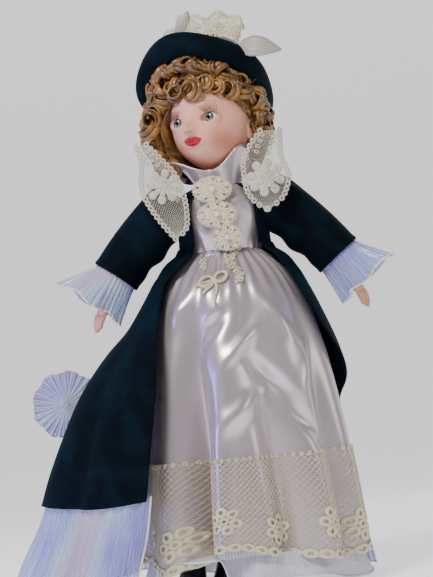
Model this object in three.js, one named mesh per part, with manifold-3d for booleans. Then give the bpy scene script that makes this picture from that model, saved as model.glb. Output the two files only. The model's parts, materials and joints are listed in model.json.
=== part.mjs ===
// A dressed porcelain doll, about 450 mm tall, built as it comes apart on a bench: a stuffed cloth
// body with a bisque shoulder plate, a swivelling bisque head, bisque forearms and shins, and the
// sewn clothes. Millimetres, +Z up, the doll faces -Y, and its own right-hand side is at -X.
import * as THREE from "three";
import { mergeVertices } from "three/addons/utils/BufferGeometryUtils.js";
import Module from "manifold-3d";

const wasm = await Module();
wasm.setup();

// ---------- driving dimensions ----------
const GAP = 0.4; // clearance between sewn or seated pieces
const CLOTH = 2.0; // wall of a soft garment solid
const BISQUE = 3.0; // wall of the poured porcelain

// heights on the body
const HIP_Z = 188;
const WAIST_Z = 257;
const SHOULDER_Z = 297; // the arms' pivots
const NECK_RISE = 13; // from the arms' pivots to the neck's seat
const NECK_Z = SHOULDER_Z + NECK_RISE;
const SKIRT_HEM_Z = 27;
const LACE_TOP_Z = 100;
const COAT_HEM_Z = 76;

const SKIRT_HIP_R = 60; // where the gathers of the skirt stop swelling
const SKIRT_HEM_R = 86;
const COAT_EASE = 15.6; // the coat's hem stands this far outside the skirt

// cloth torso
const TORSO_HIP_R = 32;
const TORSO_WAIST_R = 24;
const TORSO_CHEST_R = 29;
const TORSO_FLATNESS = 0.75; // depth over width of the trunk
const SKIRT_FLATNESS = 0.92; // depth over width of the gathered skirts
const NECK_R = 11;

// head, in its own frame: origin at the neck pivot, face towards -Y
const HEAD_HALF_WIDTH = 31.5;
const HEAD_HALF_DEPTH = 36.5;
const HEAD_HALF_HEIGHT = 40;
const HEAD_CENTRE_Z = 52;
const HEAD_TURN = -31; // degrees about +Z at rest: the doll looks over its right shoulder
const EYE_X = 14.4;
const EYE_Z = 48;
const EYE_R = 8;
const EYE_OPENING_R = 5.2;
const CURL_DEPTH = 19.5; // how far the curls stand out at the sides
const WIG_SHIFT = -4; // the curls are fuller on the doll's right
const HAT_TILT = 35; // degrees that the hat leans back
const HAT_RIM_R = HEAD_HALF_DEPTH + 8.5;
const HAT_RIM_X = -8;
const HAT_RIM_Y = 9;
const HAT_RIM_Z = HEAD_CENTRE_Z + 22;
const BRIM_WIDTH = 9;
const BRIM_HEIGHT = 18;

// arms
const SHOULDER_X = 38;
const ARM_SPREAD = 45; // degrees of the upper arm from straight down
const FOREARM_SPREAD = 31;
const UPPER_ARM = 50; // length of the stuffed upper arm
const ARM_R = 8.5;
const FOREARM_LENGTH = 40;
const SLEEVE_LENGTH = 74;
const SLEEVE_R = 21.5;
const SLEEVE_END_R = 19;
const CUFF_LENGTH = 28;
const CUFF_R = 33;

// legs
const HIP_X = 13.5;
const LEG_LEAN = 11; // degrees that both legs lean towards the doll's right
const THIGH_LENGTH = 80;
const THIGH_R = 11.5;
const SHIN_R = 8.5;
const BOOT_HEIGHT = 42;
const SOLE = 4;

const WIDE = 24; // facets around the skirts and the coat
const ROUND = 16; // facets around the trunk, the head and the hat

const DEG = Math.PI / 180;
const SIDES = { right: -1, left: 1 };

// ---------- materials ----------
const paint = (color, roughness, metalness = 0) =>
  new THREE.MeshStandardMaterial({ color, roughness, metalness });
const bisque = paint(0xe2b39b, 0.45);
const muslin = paint(0xd9cdb8, 0.9);
const velvet = paint(0x062a2c, 0.85);
const satin = paint(0xe9e0d8, 0.35);
const lace = paint(0xded5b8, 0.8);
const organza = paint(0xc9c4dd, 0.4);
const curls = paint(0xa26a24, 0.45);
const eyeGlass = paint(0x5d7075, 0.1);
const lashHair = paint(0x3b2a24, 0.8);
const pearl = paint(0xe6e6ee, 0.2);
const bootLeather = paint(0x15161c, 0.35);
const steel = paint(0x9a9ca0, 0.35, 1);
const wood = paint(0xb58a55, 0.7);

// ---------- shape tools ----------
// A closed geometry as a solid whose faces point out.
function solid(geometry) {
  const bare = geometry.index ? geometry.toNonIndexed() : geometry.clone();
  bare.deleteAttribute("normal");
  bare.deleteAttribute("uv");
  const merged = mergeVertices(bare, 1e-4);
  const vertProperties = merged.attributes.position.array;
  const triVerts = new Uint32Array(merged.index.array);
  const made = new wasm.Manifold(new wasm.Mesh({ numProp: 3, vertProperties, triVerts }));
  if (made.volume() > 0) return made;
  for (let i = 0; i < triVerts.length; i += 3) {
    [triVerts[i + 1], triVerts[i + 2]] = [triVerts[i + 2], triVerts[i + 1]];
  }
  return new wasm.Manifold(new wasm.Mesh({ numProp: 3, vertProperties, triVerts }));
}

function surface(body) {
  const cut = body.getMesh();
  const corners = new Float32Array(cut.numVert * 3);
  for (let i = 0; i < cut.numVert; i++) {
    corners.set(cut.vertProperties.subarray(i * cut.numProp, i * cut.numProp + 3), i * 3);
  }
  const geometry = new THREE.BufferGeometry();
  geometry.setAttribute("position", new THREE.BufferAttribute(corners, 3));
  geometry.setIndex(new THREE.BufferAttribute(cut.triVerts, 1));
  return geometry;
}

// A profile of [radius, height] points turned about +Z.
function turned(profile, segments = ROUND) {
  const points = profile.map(([r, z]) => new THREE.Vector2(r, z));
  return new THREE.LatheGeometry(points, segments).rotateX(Math.PI / 2);
}

// A sleeve-like wall: the outside line, and the same line moved in by the wall.
function wallProfile(outside, wall) {
  const inside = outside.map(([r, z]) => [r - wall, z]).reverse();
  return [...outside, ...inside, outside[0]];
}

function reshape(geometry, rule) {
  const place = geometry.attributes.position;
  const v = new THREE.Vector3();
  for (let i = 0; i < place.count; i++) {
    rule(v.fromBufferAttribute(place, i));
    place.setXYZ(i, v.x, v.y, v.z);
  }
  return geometry;
}

// The line's radius at a height, between its points.
function radiusAt(line, z) {
  const ordered = [...line].sort((a, b) => a[1] - b[1]);
  if (z <= ordered[0][1]) return ordered[0][0];
  for (let i = 1; i < ordered.length; i++) {
    const [r0, z0] = ordered[i - 1];
    const [r1, z1] = ordered[i];
    if (z <= z1) return r0 + ((r1 - r0) * (z - z0)) / (z1 - z0);
  }
  return ordered[ordered.length - 1][0];
}

const mix = (a, b, t) => a + (b - a) * Math.min(1, Math.max(0, t));

// A block between two corners.
function block([x0, y0, z0], [x1, y1, z1]) {
  const box = new THREE.BoxGeometry(x1 - x0, y1 - y0, z1 - z0);
  return solid(box.translate((x0 + x1) / 2, (y0 + y1) / 2, (z0 + z1) / 2));
}

// A bar with round section between two points.
function bar(from, to, r0, r1 = r0, sides = 12) {
  const a = new THREE.Vector3(...from);
  const b = new THREE.Vector3(...to);
  const rod = new THREE.CylinderGeometry(r1, r0, a.distanceTo(b), sides);
  const turn = new THREE.Quaternion().setFromUnitVectors(
    new THREE.Vector3(0, 1, 0),
    b.clone().sub(a).normalize(),
  );
  return solid(rod.applyQuaternion(turn).translate(...a.add(b).multiplyScalar(0.5)));
}

function ball([x, y, z], [rx, ry, rz], across = 16, down = 12) {
  const sphere = new THREE.SphereGeometry(1, across, down).rotateX(Math.PI / 2);
  return solid(sphere.scale(rx, ry, rz).translate(x, y, z));
}

// A flat outline in X and Z, given a thickness along Y from the front face at y.
function plate(outline, y, thickness) {
  const shape = new THREE.Shape(outline.map(([x, z]) => new THREE.Vector2(x, z)));
  const slab = new THREE.ExtrudeGeometry(shape, { depth: thickness, bevelEnabled: false });
  return solid(slab.rotateX(Math.PI / 2).translate(0, y + thickness, 0));
}

const doll = new THREE.Group();

function add(name, body, material, parent = doll) {
  const mesh = new THREE.Mesh(surface(body), material);
  mesh.name = name;
  parent.add(mesh);
  return mesh;
}

// The trunk is oval below the neck and round at it.
function flattenTrunk(v) {
  const r = Math.hypot(v.x, v.y);
  v.y *= mix(1, TORSO_FLATNESS, (r - NECK_R - 1) / 13);
}

// The skirts are oval like the trunk at the waist and rounder below.
function flattenSkirt(v) {
  v.y *= mix(TORSO_FLATNESS + 0.02, SKIRT_FLATNESS, (WAIST_Z + 5 - v.z) / 40);
}

// ---------- cloth body and shoulder plate ----------
const between = (a, b, t) => a + (b - a) * t;
const CHEST_Z = between(WAIST_Z, SHOULDER_Z, 0.525);
const torsoLine = [
  [0, HIP_Z - 2],
  [22, HIP_Z - 2],
  [TORSO_HIP_R, between(HIP_Z, WAIST_Z, 0.15)],
  [TORSO_HIP_R - 2, between(HIP_Z, WAIST_Z, 0.54)],
  [TORSO_WAIST_R, between(HIP_Z, WAIST_Z, 0.9)],
  [TORSO_WAIST_R, WAIST_Z + 1],
  [TORSO_CHEST_R, CHEST_Z],
  [TORSO_CHEST_R, SHOULDER_Z - 9],
  [TORSO_CHEST_R - 5, SHOULDER_Z - 4],
  [16, SHOULDER_Z - 1],
  [0, SHOULDER_Z - 1],
];
add("cloth_torso", solid(reshape(turned(torsoLine), flattenTrunk)), muslin);

const PLATE_TOP = NECK_Z - 1.5;
const plateIn = TORSO_CHEST_R + GAP;
const plateOut = plateIn + 1.8;
const plateLine = [
  [plateIn, SHOULDER_Z - 15],
  [plateOut, SHOULDER_Z - 15],
  [plateOut, SHOULDER_Z - 7],
  [plateOut - 1.7, SHOULDER_Z + 1],
  [plateOut - 7.2, PLATE_TOP - 6],
  [NECK_R + 4, PLATE_TOP - 3],
  [NECK_R + 1, PLATE_TOP],
  [4.5, PLATE_TOP],
  [4.5, PLATE_TOP - 4],
  [NECK_R - 2, PLATE_TOP - 4.5],
  [NECK_R + 5, PLATE_TOP - 6.5],
  [plateIn - 6.4, SHOULDER_Z + 1],
  [plateIn - 1, SHOULDER_Z - 5],
  [plateIn, SHOULDER_Z - 8],
  [plateIn, SHOULDER_Z - 15],
];
add("shoulder_plate", solid(reshape(turned(plateLine), flattenTrunk)), bisque);

// ---------- dress ----------
const armhole = (side, r) =>
  bar([side * 22, 0, SHOULDER_Z], [side * 60, 0, SHOULDER_Z], r, r, 20);

const bodiceLine = [
  [TORSO_WAIST_R + 2.5, WAIST_Z + GAP],
  [plateOut + GAP + 1.4, CHEST_Z],
  [plateOut + GAP + 1.4, SHOULDER_Z - 7],
  [plateOut + GAP + 0.6, SHOULDER_Z + 2],
  [plateOut - 5.2, NECK_Z - 5],
  [NECK_R + 6, NECK_Z - 2],
];
const bodiceWall = wallProfile(bodiceLine, 1.4);
const bodice = solid(reshape(turned(bodiceWall, ROUND), flattenTrunk))
  .subtract(armhole(-1, ARM_R + 1))
  .subtract(armhole(1, ARM_R + 1));
add("dress_bodice", bodice, satin);

const collarLine = [
  [NECK_R + 5.5, NECK_Z - 1.4],
  [NECK_R + 6.5, NECK_Z + 2],
  [NECK_R + 7.5, NECK_Z + 5.5],
];
add("dress_collar", solid(turned(wallProfile(collarLine, 1.8))), satin);

// The skirt's fall: shares of the way out from the waistband to the hips and from there to the
// hem, each with its share of the way down.
const SKIRT_TOP_R = TORSO_WAIST_R + 3.2;
const overHips = [
  [0, 0],
  [0.27, 0.03],
  [0.634, 0.091],
  [1, 0.196],
].map(([out, down]) => [between(SKIRT_TOP_R, SKIRT_HIP_R, out), down]);
const belowHips = [
  [0.385, 0.357],
  [0.692, 0.596],
  [0.885, 0.813],
  [1, 1],
].map(([out, down]) => [between(SKIRT_HIP_R, SKIRT_HEM_R, out), down]);
const skirtLine = [...overHips, ...belowHips].map(([r, down]) => [
  r,
  between(WAIST_Z, SKIRT_HEM_Z, down),
]);
add("dress_skirt", solid(reshape(turned(wallProfile(skirtLine, CLOTH), WIDE), flattenSkirt)), satin);

const laceLine = [LACE_TOP_Z, between(LACE_TOP_Z, SKIRT_HEM_Z, 0.4), SKIRT_HEM_Z + GAP].map((z) => [
  radiusAt(skirtLine, z) + GAP + 1.4,
  z,
]);
add("skirt_lace_band", solid(reshape(turned(wallProfile(laceLine, 1.2), WIDE), flattenSkirt)), lace);

const petticoatLine = [...skirtLine.slice(3, 7).map(([, z]) => z), SKIRT_HEM_Z + 0.5].map((z) => [
  radiusAt(skirtLine, z) - CLOTH - 1,
  z,
]);
const petticoat = reshape(turned(wallProfile(petticoatLine, CLOTH), WIDE), flattenSkirt);
add("petticoat", solid(petticoat), organza);

const flounceLine = [
  [SKIRT_HEM_R - CLOTH - 0.6, SKIRT_HEM_Z],
  [SKIRT_HEM_R - CLOTH + 1, SKIRT_HEM_Z - 14],
  [SKIRT_HEM_R + 0.5, 0],
];
const flounce = reshape(turned(wallProfile(flounceLine, CLOTH + 0.6), WIDE), flattenSkirt);
add("petticoat_flounce", solid(flounce), organza);

// Lace rosettes down the bodice, each with a pearl, and the bow with its lace tails.
function rosette(x, z, radius, y) {
  const petals = 8;
  const outline = new THREE.Shape();
  for (let i = 0; i <= 32; i++) {
    const a = (i / 32) * 2 * Math.PI;
    const r = radius * (0.86 + 0.14 * Math.abs(Math.cos((a * petals) / 2)));
    const [px, pz] = [x + r * Math.cos(a), z + r * Math.sin(a)];
    if (i === 0) outline.moveTo(px, pz);
    else if (i < 32) outline.lineTo(px, pz);
  }
  const flower = new THREE.ExtrudeGeometry(outline, { depth: 1.2, bevelEnabled: false });
  return solid(flower.rotateX(Math.PI / 2).translate(0, y, 0));
}
const rosettes = {
  top: { x: -6, z: SHOULDER_Z + 6.5, r: 9.5 },
  middle: { x: -4, z: between(WAIST_Z, SHOULDER_Z, 0.675), r: 9.2 },
  waist: { x: 2, z: between(WAIST_Z, SHOULDER_Z, 0.2125), r: 8.6 },
};
const rosetteY = -(plateOut + 2) * TORSO_FLATNESS - 2.5;
const PEARL_R = 1.9;
for (const [place, { x, z, r }] of Object.entries(rosettes)) {
  add(`lace_rosette_${place}`, rosette(x, z, r, rosetteY), lace);
  const bead = ball([x, rosetteY - 1.5 - PEARL_R, z], [PEARL_R, PEARL_R, PEARL_R], 8, 6);
  add(`pearl_${place}`, bead, pearl);
}
const bowLine = [
  [6, -4],
  [10, -4],
  [9, -19],
  [3, -31],
  [10, -39],
  [2, -43],
  [-4, -51],
  [-8, -43],
  [-16, -41],
  [-10, -33],
  [-15, -19],
  [-10, -19],
  [-4, -29],
  [3, -19],
].map(([x, drop]) => [x, WAIST_Z + drop]);
const bowLie = (v) => {
  v.y -= radiusAt(skirtLine, v.z) * 0.96 + 1;
};
const bowSlab = new THREE.ExtrudeGeometry(
  new THREE.Shape(bowLine.map(([x, z]) => new THREE.Vector2(x, z))),
  { depth: 1.4, bevelEnabled: false },
).rotateX(Math.PI / 2);
add("waist_bow", solid(reshape(bowSlab, bowLie)), lace);

// ---------- coat ----------
const coatGap = GAP + 0.2;
const coatBodiceLine = bodiceLine
  .slice(0, 5)
  .map(([r, z], i) => [r + coatGap + CLOTH + (i === 0 ? 7 : 0.6), z + (i === 0 ? 6 : 0.6)]);
const coatOutR = Math.max(...coatBodiceLine.map(([r]) => r));
const coatBodice = solid(reshape(turned(wallProfile(coatBodiceLine, CLOTH)), flattenTrunk))
  .subtract(armhole(-1, ARM_R + 2.5))
  .subtract(armhole(1, ARM_R + 2.5))
  .subtract(block([-24, -90, WAIST_Z - 17], [26, 0, NECK_Z + 30]));
add("coat_bodice", coatBodice, velvet);

// The coat's fall: shares of the way down from the waist to its hem, and its ease over the skirt.
const coatLine = [
  [-0.028, COAT_EASE - 6.8],
  [0.017, COAT_EASE - 3.6],
  [0.094, COAT_EASE - 6.2],
  [0.249, COAT_EASE - 7.6],
  [0.453, COAT_EASE - 4.6],
  [0.757, COAT_EASE - 1.6],
  [1, COAT_EASE],
].map(([down, ease]) => {
  const z = between(WAIST_Z, COAT_HEM_Z, down);
  return [radiusAt(skirtLine, z) + ease, z];
});
// The coat swings out to the doll's right and hangs fuller at the back.
function swing(v) {
  const toRight = Math.max(0, -v.x / Math.hypot(v.x, v.y));
  const toBack = Math.max(0, v.y / Math.hypot(v.x, v.y));
  const drop = mix(0, 1, (WAIST_Z - v.z) / (WAIST_Z - COAT_HEM_Z));
  const grow = 1 + drop * (0.56 * toRight ** 2 + 0.16 * toBack ** 2);
  v.x *= grow;
  v.y *= grow;
}
function hangCoat(v) {
  swing(v);
  flattenSkirt(v);
}
const coatShell = solid(reshape(turned(wallProfile(coatLine, CLOTH + 0.5), WIDE), hangCoat));
const coatHemR = coatLine[coatLine.length - 1][0];
const ruffleLine = [
  [coatHemR, COAT_HEM_Z - GAP],
  [coatHemR + 6, between(3, COAT_HEM_Z, 0.64)],
  [coatHemR + 15, between(3, COAT_HEM_Z, 0.29)],
  [coatHemR + 20, 3],
];
const ruffleShell = solid(reshape(turned(wallProfile(ruffleLine, CLOTH), WIDE), hangCoat));

// What the open front takes away on each side: left of these lines there is coat.
const topOfCoat = WAIST_Z + 13;
const rightFrontEdge = [
  [-24, topOfCoat],
  [-26, WAIST_Z - 1],
  [-50, WAIST_Z - 24],
  [-62, between(COAT_HEM_Z, WAIST_Z, 0.403)],
  [-74, COAT_HEM_Z],
  [-84, -5],
];
const rightOpening = plate([...rightFrontEdge, [260, -5], [260, topOfCoat]], -260, 260);
const leftFrontEdge = [
  [-18, topOfCoat],
  [-18, WAIST_Z - 1],
  [-26, WAIST_Z - 29],
  [-8, between(COAT_HEM_Z, WAIST_Z, 0.685)],
  [14, between(COAT_HEM_Z, WAIST_Z, 0.547)],
  [42, between(COAT_HEM_Z, WAIST_Z, 0.298)],
  [58, COAT_HEM_Z],
  [66, -5],
];
const sideways = new THREE.Shape(
  [...leftFrontEdge, [-260, -5], [-260, topOfCoat]].map(([y, z]) => new THREE.Vector2(y, z)),
);
const leftOpening = solid(
  new THREE.ExtrudeGeometry(sideways, { depth: 260, bevelEnabled: false })
    .rotateX(Math.PI / 2)
    .rotateZ(Math.PI / 2),
);
const SEAM_X = 30; // half the width of the coat's centre back panel
const halfTurn = 0.5; // the side panels meet the back's line at the doll's sides
const centreBack = block([-SEAM_X, 1, -10], [SEAM_X, 300, 400]);
const rightPart = block([-300, -300, -10], [-SEAM_X - GAP, 300, 400]).add(
  block([-SEAM_X - 1, -300, -10], [0, halfTurn, 400]),
);
const leftPart = block([SEAM_X + GAP, -300, -10], [300, 300, 400]).add(
  block([GAP, -300, -10], [SEAM_X + 1, halfTurn, 400]),
);
add("coat_skirt_right", coatShell.intersect(rightPart).subtract(rightOpening), velvet);
add("coat_skirt_left", coatShell.intersect(leftPart).subtract(leftOpening), velvet);
add("coat_skirt_back", coatShell.intersect(centreBack), velvet);
const ruffle = ruffleShell.subtract(rightOpening).subtract(leftOpening);
add("coat_hem_ruffle", ruffle, organza);

// A pleated organza flounce that shows past the coat's right-hand side.
const FLOUNCE_R = 26;
const flounceZ = between(COAT_HEM_Z, WAIST_Z, 0.42);
const flounceX = -radiusAt(coatLine, flounceZ) - 51;
const flounceDisc = bar([flounceX, 26, flounceZ], [flounceX, 29, flounceZ], FLOUNCE_R, FLOUNCE_R, 20);
const coatEnvelope = solid(
  reshape(
    turned(
      [[0, coatLine[0][1]], ...coatLine.map(([r, z]) => [r + GAP, z]), [0, COAT_HEM_Z]],
      WIDE,
    ),
    hangCoat,
  ),
);
add("side_flounce", flounceDisc.subtract(coatEnvelope), organza);

// Lace lapels lie on the coat's front, inside the line of the sleeves.
const lapelY = rosetteY - 4.1;
const LAPEL_OUT = SHOULDER_X - 1.5;
const lapelLines = {
  right: [
    [-25, 19],
    [1.5 - LAPEL_OUT, 17],
    [-LAPEL_OUT, 3],
    [-LAPEL_OUT, -13],
    [4.5 - LAPEL_OUT, -29],
    [-26, -17],
    [-24, 1],
  ],
  left: [
    [20, 18],
    [LAPEL_OUT - 2.5, 18],
    [LAPEL_OUT, 7],
    [LAPEL_OUT, -7],
    [LAPEL_OUT - 4.5, -13],
    [26, -9],
    [20, 3],
  ],
};
for (const [side, outline] of Object.entries(lapelLines)) {
  const placed = outline.map(([x, up]) => [x, SHOULDER_Z + up]);
  add(`lace_lapel_${side}`, plate(placed, lapelY, 1.6), lace);
}

// ---------- arms ----------
// Pieces are drawn for the doll's left, from the shoulder pivot, and mirrored for its right.
const along = (spread, forward = 0) =>
  new THREE.Vector3(
    Math.sin(spread * DEG),
    -Math.sin(forward * DEG),
    -Math.cos(spread * DEG),
  ).normalize();
const armAxis = along(ARM_SPREAD);
const forearmAxis = along(FOREARM_SPREAD, 8);
const onAxis = (axis, start, distance) => [
  start[0] + axis.x * distance,
  start[1] + axis.y * distance,
  start[2] + axis.z * distance,
];
const mirrored = (body, side) => (side < 0 ? body.mirror([1, 0, 0]) : body);

// A wall turned about the arm's line, with distances measured from the pivot.
function aroundArm(profile, segments = 16) {
  const turn = new THREE.Quaternion().setFromUnitVectors(new THREE.Vector3(0, 0, 1), armAxis);
  return solid(turned(profile, segments).applyQuaternion(turn));
}

const stubIn = plateOut + GAP + 0.2 - SHOULDER_X;
const elbow = onAxis(armAxis, [0, 0, 0], UPPER_ARM);
const wireEnd = onAxis(armAxis, [0, 0, 0], UPPER_ARM + 1);
const upperArm = bar([stubIn, 0, 0], [0, 0, 0], ARM_R, ARM_R, 12)
  .add(ball([0, 0, 0], [ARM_R, ARM_R, ARM_R], 12, 8))
  .add(bar([0, 0, 0], elbow, ARM_R, ARM_R - 0.5, 12))
  .subtract(block([-40, -20, -20], [stubIn, 20, 20]))
  .subtract(bar([0, 0, 0], wireEnd, 1.3, 1.3, 8));
const armWire = bar(onAxis(armAxis, [0, 0, 0], 8), onAxis(armAxis, [0, 0, 0], UPPER_ARM - 0.5), 0.9, 0.9, 8);

const forearmStart = onAxis(forearmAxis, onAxis(armAxis, [0, 0, 0], UPPER_ARM), 3.2);
const wrist = onAxis(forearmAxis, forearmStart, FOREARM_LENGTH);
const palm = onAxis(forearmAxis, wrist, 7);
const fingertip = onAxis(forearmAxis, wrist, 24);
const fingerOffsets = [-4.2, -1.4, 1.4, 4.2];
let forearm = bar(forearmStart, wrist, 7.4, 5.2, 12).add(ball(palm, [5.2, 6.6, 9], 10, 8));
for (const offset of fingerOffsets) {
  const knuckle = [palm[0], palm[1] + offset, palm[2]];
  const reach = 1 - 0.03 * Math.abs(offset);
  const tip = [
    palm[0] + (fingertip[0] - palm[0]) * reach - 2,
    palm[1] + (fingertip[1] - palm[1]) * reach + offset * 0.85,
    palm[2] + (fingertip[2] - palm[2]) * reach,
  ];
  forearm = forearm.add(bar(knuckle, tip, 2.4, 1.7, 6));
}
forearm = forearm.add(
  bar(palm, [palm[0] - 6.5, palm[1] - 9, palm[2] - 7], 2.5, 1.8, 6),
);

const sleeveOut = [
  [0.01, -17],
  [9, -15],
  [16, -8],
  [SLEEVE_R - 1, 4],
  [SLEEVE_R, 22],
  [SLEEVE_R - 0.6, 50],
  [SLEEVE_END_R, SLEEVE_LENGTH],
];
const sleeveIn = sleeveOut
  .map(([r, s], i) => [i < 4 ? Math.max(0.01, r - 2.4) : r - CLOTH, i < 4 ? s + 2.4 : s])
  .reverse();
const sleeve = aroundArm(
  [[0, -17], ...sleeveOut.slice(1), ...sleeveIn.slice(0, -1), [0, -14.6]],
).subtract(block([-80, -60, -60], [coatOutR + GAP + 0.6 - SHOULDER_X, 60, 60]));

const cuffLine = [
  [SLEEVE_END_R - 1, SLEEVE_LENGTH + GAP],
  [23, SLEEVE_LENGTH + 9],
  [29, SLEEVE_LENGTH + 19],
  [CUFF_R, SLEEVE_LENGTH + CUFF_LENGTH],
];
const cuff = aroundArm(wallProfile(cuffLine, 1.6), 20);

for (const [side, sign] of Object.entries(SIDES)) {
  const arm = new THREE.Group();
  arm.position.set(sign * SHOULDER_X, 0, SHOULDER_Z);
  doll.add(arm);
  add(`${side}_upper_arm`, mirrored(upperArm, sign), muslin, arm);
  add(`${side}_arm_wire`, mirrored(armWire, sign), steel, arm);
  add(`${side}_forearm`, mirrored(forearm, sign), bisque, arm);
  add(`${side}_sleeve`, mirrored(sleeve, sign), velvet, arm);
  add(`${side}_cuff`, mirrored(cuff, sign), organza, arm);
}

// ---------- legs ----------
const BOOT_TOE = 26;
const BOOT_HEEL = 13;
const BOOT_HALF = 11.5;
const legLength = HIP_Z / Math.cos(LEG_LEAN * DEG);
const shinEnd = legLength - SOLE - 6;
const footShift = HIP_Z * Math.tan(LEG_LEAN * DEG);
for (const [side, sign] of Object.entries(SIDES)) {
  const leg = new THREE.Group();
  leg.position.set(sign * HIP_X, 0, HIP_Z);
  doll.add(leg);
  const lean = new THREE.Group();
  lean.rotation.y = LEG_LEAN * DEG;
  leg.add(lean);
  const thigh = bar([0, 0, -6.5], [0, 0, -THIGH_LENGTH], THIGH_R, THIGH_R - 2.5, 14);
  add(`${side}_thigh`, thigh, muslin, lean);
  const shin = solid(
    turned([
      [0, -THIGH_LENGTH - GAP],
      [SHIN_R + 1.2, -THIGH_LENGTH - GAP],
      [SHIN_R, -THIGH_LENGTH - 8],
      [SHIN_R + 0.8, -THIGH_LENGTH - 35],
      [6.6, -shinEnd + 14],
      [7, -shinEnd + 3],
      [5, -shinEnd],
      [0, -shinEnd],
    ], 14),
  );
  add(`${side}_shin`, shin, bisque, lean);
  const legging = wallProfile(
    [
      [THIGH_R + 1.6, -16],
      [THIGH_R + 1.6, -60],
      [THIGH_R + 0.8, -112],
      [THIGH_R + 1.6, -124],
    ],
    1.2,
  );
  add(`${side}_pantaloon`, solid(turned(legging, 16)), lace, lean);

  const boot = new THREE.Group();
  boot.position.set(sign * HIP_X - footShift, 0, 0);
  doll.add(boot);
  const lineUp = (z) => [z * Math.tan(LEG_LEAN * DEG), 0, z];
  const shaft = bar(lineUp(SOLE), lineUp(BOOT_HEIGHT), BOOT_HALF, BOOT_HALF + 0.5, 16);
  const vamp = solid(
    new THREE.SphereGeometry(1, 16, 10)
      .rotateX(Math.PI / 2)
      .scale(BOOT_HALF, (BOOT_TOE + BOOT_HEEL) / 2, 13)
      .translate(0, (BOOT_HEEL - BOOT_TOE) / 2, SOLE + GAP),
  );
  const hollow = bar(lineUp(SOLE + 4), lineUp(BOOT_HEIGHT + 2), 9.4, 10.4, 14);
  const underfoot = block([-40, -60, -40], [40, 60, SOLE + GAP]);
  add(`${side}_boot`, shaft.add(vamp).subtract(hollow).subtract(underfoot), bootLeather, boot);
  const soleShape = new THREE.Shape();
  soleShape.absellipse(0, (BOOT_HEEL - BOOT_TOE) / 2, BOOT_HALF + 0.8, (BOOT_TOE + BOOT_HEEL) / 2 + 0.8);
  const sole = new THREE.ExtrudeGeometry(soleShape, {
    depth: SOLE,
    bevelEnabled: false,
    curveSegments: 10,
  });
  add(`${side}_boot_sole`, solid(sole), bootLeather, boot);
}

// ---------- neck fastening ----------
const neck = new THREE.Group();
neck.position.set(0, 0, NECK_Z);
doll.add(neck);
add("neck_bolt", bar([0, 0, -13.2], [0, 0, 12], 1.6, 1.6, 12), steel, neck);
const ringProfile = (inner, outer, low, high) => [
  [inner, low],
  [outer, low],
  [outer, high],
  [inner, high],
  [inner, low],
];
add("neck_washer", solid(turned(ringProfile(1.9, 7, 3, 5), 14)), steel, neck);
add("neck_button", solid(turned(ringProfile(1.9, 6.5, -11, -7.5), 14)), wood, neck);

// ---------- head ----------
const head = new THREE.Group();
head.position.set(0, 0, NECK_Z);
head.rotation.z = HEAD_TURN * DEG;
doll.add(head);

// A child's head: full cheeks, a small chin and a broad forehead.
function shapeHead(v) {
  const low = Math.max(0, -v.z);
  v.x *= 1 - 0.16 * low ** 2;
  if (v.y > 0) v.y *= 1 - 0.22 * low;
  v.x *= HEAD_HALF_WIDTH;
  v.y *= HEAD_HALF_DEPTH;
  v.z *= HEAD_HALF_HEIGHT;
  v.z += HEAD_CENTRE_Z;
}
const eggOf = (shrink, across = ROUND, down = 12) =>
  solid(
    reshape(
      new THREE.SphereGeometry(1, across, down).rotateX(Math.PI / 2).scale(shrink, shrink, shrink),
      shapeHead,
    ),
  );
const hatUp = new THREE.Vector3(0, Math.sin(HAT_TILT * DEG), Math.cos(HAT_TILT * DEG));
const hatTurn = new THREE.Quaternion().setFromUnitVectors(new THREE.Vector3(0, 0, 1), hatUp);
const inHat = (geometry) =>
  solid(geometry.applyQuaternion(hatTurn).translate(HAT_RIM_X, HAT_RIM_Y, HAT_RIM_Z));

const CROWN_CUT = 8; // the head's pour hole is this far above the hat's rim plane
const crownHole = inHat(
  new THREE.CylinderGeometry(70, 70, 60, 12).rotateX(Math.PI / 2).translate(0, 0, CROWN_CUT + 30),
);
const eyePlace = (sign) => [sign * EYE_X, 13.2 - HEAD_HALF_DEPTH, EYE_Z];
let porcelain = eggOf(1)
  .add(bar([0, 0, 0], [0, 0, 30], NECK_R, NECK_R + 1, 16))
  .subtract(eggOf(1 - BISQUE / HEAD_HALF_WIDTH, 14, 10))
  .subtract(bar([0, 0, 2.4], [0, 0, 40], NECK_R - BISQUE, NECK_R - BISQUE, 14))
  .subtract(bar([0, 0, -1], [0, 0, 4], 3.4, 3.4, 12))
  .subtract(crownHole);
for (const sign of Object.values(SIDES)) {
  const [x, y, z] = eyePlace(sign);
  porcelain = porcelain
    .subtract(ball([x, y, z], [EYE_R + GAP, EYE_R + GAP, EYE_R + GAP], 12, 8))
    .subtract(bar([x, y, z], [x * 1.2, y - 20, z], EYE_OPENING_R, EYE_OPENING_R, 12));
}
add("porcelain_head", porcelain, bisque, head);

const pateGap = crownHole.translate([0, GAP * hatUp.y, GAP * hatUp.z]);
add("head_pate", eggOf(1).subtract(eggOf(0.93, 14, 10)).intersect(pateGap), muslin, head);

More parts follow.
